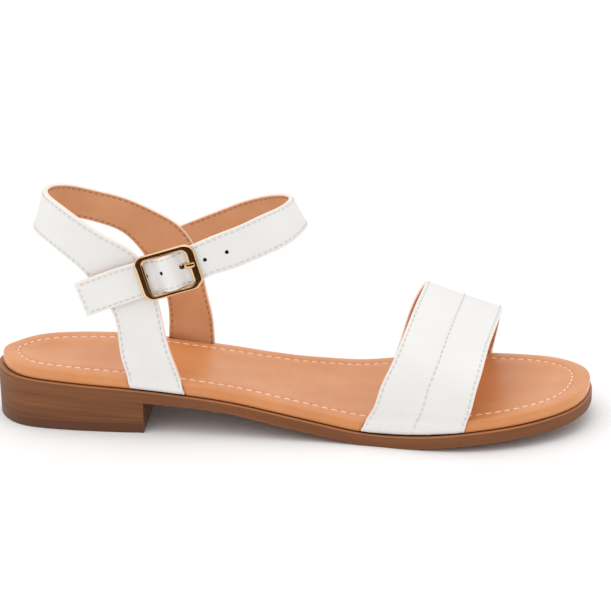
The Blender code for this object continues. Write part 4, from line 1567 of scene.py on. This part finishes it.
@dataclass(frozen=True)
class Buckle:
    """Gilt frame with broad side bars, its centre bar and prong, and the tab that holds them."""

    place: BucklePlace
    length: float = 25.4
    height: float = 18.9
    side_bar: float = 3.8
    rail: float = 2.0
    corner: float = 4.2
    corner_points: int = 13
    frame_sharp: float = 32.0
    lift: float = 1.9            # of the frame's middle over the centre bar
    half_depth: float = 1.1
    bar_radius: float = 0.5
    bar_rows: tuple = (
        # distance from the opening's end, outward: from the rail down to the tab's level
        (1.0, 1.9), (0.5, 0.6), (-0.6, 0.0))
    tube_sides: int = 16
    prong_radius: float = 0.5
    prong_spread: float = 1.8    # its width over its thickness
    prong_slant: float = 0.14
    prong_level: float = 0.8     # across, where it rests
    prong_steps: int = 90
    prong_point: float = 0.7     # length over which its end is rounded
    prong_blunt: float = 0.04    # square of the radius that is left there, as a share
    hook_degrees: tuple[int, int, int] = (100, 316, 12)     # from over the bar, end and step
    hook_gap: float = 0.2        # between its hook and the bar
    rest_gap: float = 0.08       # between its end and the frame
    tab_softening: float = 0.12
    prong_arm: tuple = (
        # along, outward: from under the bar up through the strap's slot
        (2.2, -1.3), (4.2, -1.65), (5.1, -1.6), (5.8, -0.9), (6.5, 0.5), (7.3, 2.1))
    prong_end: tuple = (
        # along, outward from the level at which it rests
        (8.2, -0.3), (9.2, 0.0), (10.6, 0.0), (11.7, 0.0))
    profile: tuple = (
        # share of the way from the outer edge to the opening, outward: back, rim, band, bevel
        (0.08, -1.1), (0.02, -1.0), (0.0, -0.8), (0.0, 0.05), (0.015, 0.35), (0.05, 0.62), (0.11, 0.85),
        (0.19, 1.0), (0.28, 1.07), (0.32, 1.1), (0.34, 1.1), (0.72, 1.1), (0.74, 1.1), (0.77, 1.05),
        (0.8, 0.9), (0.88, 0.8), (0.95, 0.6), (1.0, 0.1), (1.0, -0.8), (0.98, -1.0), (0.92, -1.1))

    def loop(self, length: float, height: float, corner: float) -> np.ndarray:
        """Closed path round the frame, its points on the round corners.

        Args:
            length: Its length.
            height: Its height.
            corner: Radius of its corners.

        Returns:
            Rows of x, y.
        """
        points = []
        for sx, sy, start in ((1, 1, 0), (-1, 1, 90), (-1, -1, 180), (1, -1, 270)):
            centre = np.array((sx * (length / 2.0 - corner), sy * (height / 2.0 - corner)))
            for turn in np.radians(start + np.linspace(0.0, 90.0, self.corner_points)):
                points.append(centre + corner * np.array((math.cos(turn), math.sin(turn))))
        return np.array(points)

    def frame(self) -> bpy.types.Object:
        """The frame: a rounded outer rim, a flat band and a bevel round the opening.

        Returns:
            The frame.
        """
        outer = self.loop(self.length, self.height, self.corner)
        inner = self.loop(self.length - 2.0 * self.side_bar, self.height - 2.0 * self.rail,
                          self.corner - self.rail)
        grid = np.stack([flat_ring(outer + share * (inner - outer), self.lift + level)
                         for share, level in self.profile], axis=1)
        rows, size = grid.shape[:2]
        closed = grid_quads(rows + 1, size) % (rows * size)       # the last row joins the first
        piece = make_piece("buckle_frame_gilt", self.place.to_sole(grid.reshape(-1, 3)), closed,
                           [Finish.GILT], sharp=self.frame_sharp)
        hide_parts("buckle_frame")
        return piece

    def tube(self, name: str, path: np.ndarray, radius: np.ndarray, spread: float) -> bpy.types.Object:
        """Bar along a path in the buckle's axes.

        Args:
            name: Name of the piece.
            path: Points along, across and outward.
            radius: Half thickness at each point.
            spread: Width over thickness.

        Returns:
            The bar.
        """
        way = unit(np.gradient(path, axis=0))
        reference = np.array((1.0, 0.0, 0.0)) if abs(way[0][1]) > 0.5 else np.array((0.0, 1.0, 0.0))
        second = unit(np.cross(way, reference))
        first = np.cross(second, way)
        sides = self.tube_sides
        turn = 2.0 * math.pi * np.arange(sides) / sides
        loops = (path[:, None, :] + radius[:, None, None] * (
            spread * np.cos(turn)[None, :, None] * first[:, None, :]
            + np.sin(turn)[None, :, None] * second[:, None, :]))
        return make_piece(name, self.place.to_sole(loops.reshape(-1, 3)),
                          tube_faces(len(path), sides), [Finish.GILT])

    def prong(self) -> bpy.types.Object:
        """Flattened wire that hooks round the centre bar, rises through the strap and rests.

        Returns:
            The prong.
        """
        reach = self.bar_radius + self.hook_gap + self.prong_radius
        turns = np.radians(np.arange(*self.hook_degrees))       # round the bar's heel side
        path = [(reach * math.cos(a), 0.0, reach * math.sin(a)) for a in turns]
        rest = self.lift + self.half_depth + self.rest_gap + self.prong_radius
        arm = [*self.prong_arm] + [(along, rest + out) for along, out in self.prong_end]
        start = arm[0][0]
        path += [(along, min(self.prong_slant * (along - start), self.prong_level), out)
                 for along, out in arm]
        path = np.array(path)
        reach = path_reach(path)
        fine = np.linspace(0.0, reach[-1], self.prong_steps)
        tip = np.clip((reach[-1] - fine) / self.prong_point, 0.0, 1.0)
        radius = self.prong_radius * np.sqrt(np.clip(1.0 - (1.0 - tip) ** 2, self.prong_blunt, 1.0))
        piece = self.tube("buckle_prong_gilt", cubic(reach, path, fine), radius, self.prong_spread)
        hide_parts("buckle_prong")
        return piece

    def centre_bar(self) -> bpy.types.Object:
        """Round bar between the rails that prong and tab turn on.

        Returns:
            The bar.
        """
        span = self.height / 2.0 - self.rail
        path = np.array([(0.0, -span - past, level) for past, level in self.bar_rows]
                        + [(0.0, span + past, level) for past, level in self.bar_rows[::-1]])
        return self.tube("buckle_centre_bar", path, np.full(len(path), self.bar_radius), 1.0)

    def dress_tab(self) -> None:
        """White calf on the tab, its cut edges softened."""
        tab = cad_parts["buckle_tab"]
        for place in tab.material_slots:
            place.material = Finish.WHITE_CALF.made()
        soften = tab.modifiers.new("soft_edges", "BEVEL")
        soften.width, soften.segments, soften.limit_method = self.tab_softening * MM, 2, "ANGLE"

    def build(self) -> list[bpy.types.Object]:
        """Makes the buckle's pieces."""
        self.dress_tab()
        return [self.frame(), self.centre_bar(), self.prong()]


# Studio

@dataclass(frozen=True)
class Studio:
    """Pale floor, soft light from above and the camera at the photograph's angle."""

    photo_width_px: int = 611
    focal_px: float = 2500.0
    sensor: float = 36.0
    clip: tuple[float, float] = (0.05, 50.0)        # in metres
    yaw: float = 4.0
    pitch: float = 18.0
    roll: float = -0.5
    target: tuple[float, float, float] = (129.6, 0.0, 48.9)     # in the sole's axes
    distance: float = 1037.0
    floor_half: float = 6.0      # in metres, as the card and the lights
    card_y: float = -0.2
    card_half: float = 0.5
    card_levels: tuple[float, float] = (0.002, 0.42)
    surround: float = 0.97       # strength of the white surround
    softboxes: tuple = (
        # name, watts, size, place, point that it looks at
        ("overhead_softbox", 3.2, 1.1, (-0.1, -0.1, 1.3), (0.0, 0.0, 0.0)),
        ("front_softbox", 1.2, 0.9, (-0.7, -1.0, 0.9), (0.0, 0.0, 0.03)))

    def camera(self) -> None:
        """Places the camera and makes it the scene's."""
        yaw, pitch, roll = (math.radians(a) for a in (self.yaw, self.pitch, self.roll))
        back = Vector((math.sin(yaw) * math.cos(pitch), -math.cos(yaw) * math.cos(pitch),
                       math.sin(pitch)))
        right = Vector((0.0, 0.0, 1.0)).cross(back).normalized()
        up = back.cross(right)
        turned_right = math.cos(roll) * right + math.sin(roll) * up
        turned_up = math.cos(roll) * up - math.sin(roll) * right
        data = bpy.data.cameras.new("photo_camera")
        data.sensor_width = self.sensor
        data.lens = self.sensor * self.focal_px / self.photo_width_px
        data.clip_start, data.clip_end = self.clip
        camera = link(bpy.data.objects.new("photo_camera", data))
        place = (Vector(self.target) + self.distance * back - Vector(SHIFT)) * MM
        camera.matrix_world = axes_at((turned_right, turned_up, back), place)
        bpy.context.scene.camera = camera

    def plane(self, name: str, colour: str, roughness: float, corners: list[tuple]) -> bpy.types.Object:
        """Flat stage piece of one colour through four corners in metres.

        Args:
            name: Name of the piece.
            colour: Hex colour.
            roughness: Roughness.
            corners: The corners in turn.

        Returns:
            The piece.
        """
        mesh = bpy.data.meshes.new(name)
        mesh.from_pydata(corners, [], [(0, 1, 2, 3)])
        mesh.materials.append(EvenPaint(name, colour, roughness).material())
        piece = link(bpy.data.objects.new(name, mesh))
        return piece

    def floor(self) -> None:
        """The pale floor."""
        half = self.floor_half
        self.plane("studio_floor", "#FBFBFB", 0.8, [
            (-half, -half, 0.0), (half, -half, 0.0), (half, half, 0.0), (-half, half, 0.0)])

    def black_card(self) -> None:
        """Card before the shoe that only reflections see, which draws the gilt's dark band."""
        half, y, (low, high) = self.card_half, self.card_y, self.card_levels
        card = self.plane("black_card", "#38200C", 1.0, [
            (-half, y, low), (half, y, low), (half, y, high), (-half, y, high)])
        card.visible_camera = card.visible_diffuse = card.visible_shadow = False
        card.visible_transmission = card.visible_volume_scatter = False

    def softbox(self, name: str, watts: float, size: float, place: tuple, aim: tuple) -> None:
        """One square area light that looks at a point.

        Args:
            name: Name of the light.
            watts: Its power.
            size: Its side in metres.
            place: Where it stands.
            aim: The point.
        """
        data = bpy.data.lights.new(name, "AREA")
        data.energy, data.size = watts, size
        light = link(bpy.data.objects.new(name, data))
        light.location = place
        light.rotation_mode = "QUATERNION"
        light.rotation_quaternion = (Vector(aim) - Vector(place)).to_track_quat("-Z", "Y")

    def lights(self) -> None:
        """White surround and the softboxes."""
        world = bpy.data.worlds.new("white_surround")
        world.use_nodes = True
        surround = world.node_tree.nodes["Background"]
        surround.inputs["Color"].default_value = (1.0, 1.0, 1.0, 1.0)
        surround.inputs["Strength"].default_value = self.surround
        bpy.context.scene.world = world
        for softbox in self.softboxes:
            self.softbox(*softbox)
        bpy.context.scene.view_settings.view_transform = "Standard"

    def build(self) -> None:
        """Sets the whole studio."""
        self.camera()
        self.floor()
        self.black_card()
        self.lights()


def main() -> None:
    """Builds the sandal from the sole up, then the studio, and reports each piece."""
    logging.basicConfig(level=logging.INFO, format="%(name)s %(message)s")
    place = BucklePlace()
    toe, ankle = ToeStrap(), AnkleUpper(place)
    footbed = Footbed(toe.seats() + ankle.seats())
    for part in (Outsole(), Heel(), footbed, toe, ankle, Buckle(place)):
        for piece in part.build():
            LOG.info("%s: %d faces", piece.name, len(piece.data.polygons))
    Studio().build()


if __name__ == "__main__":
    main()
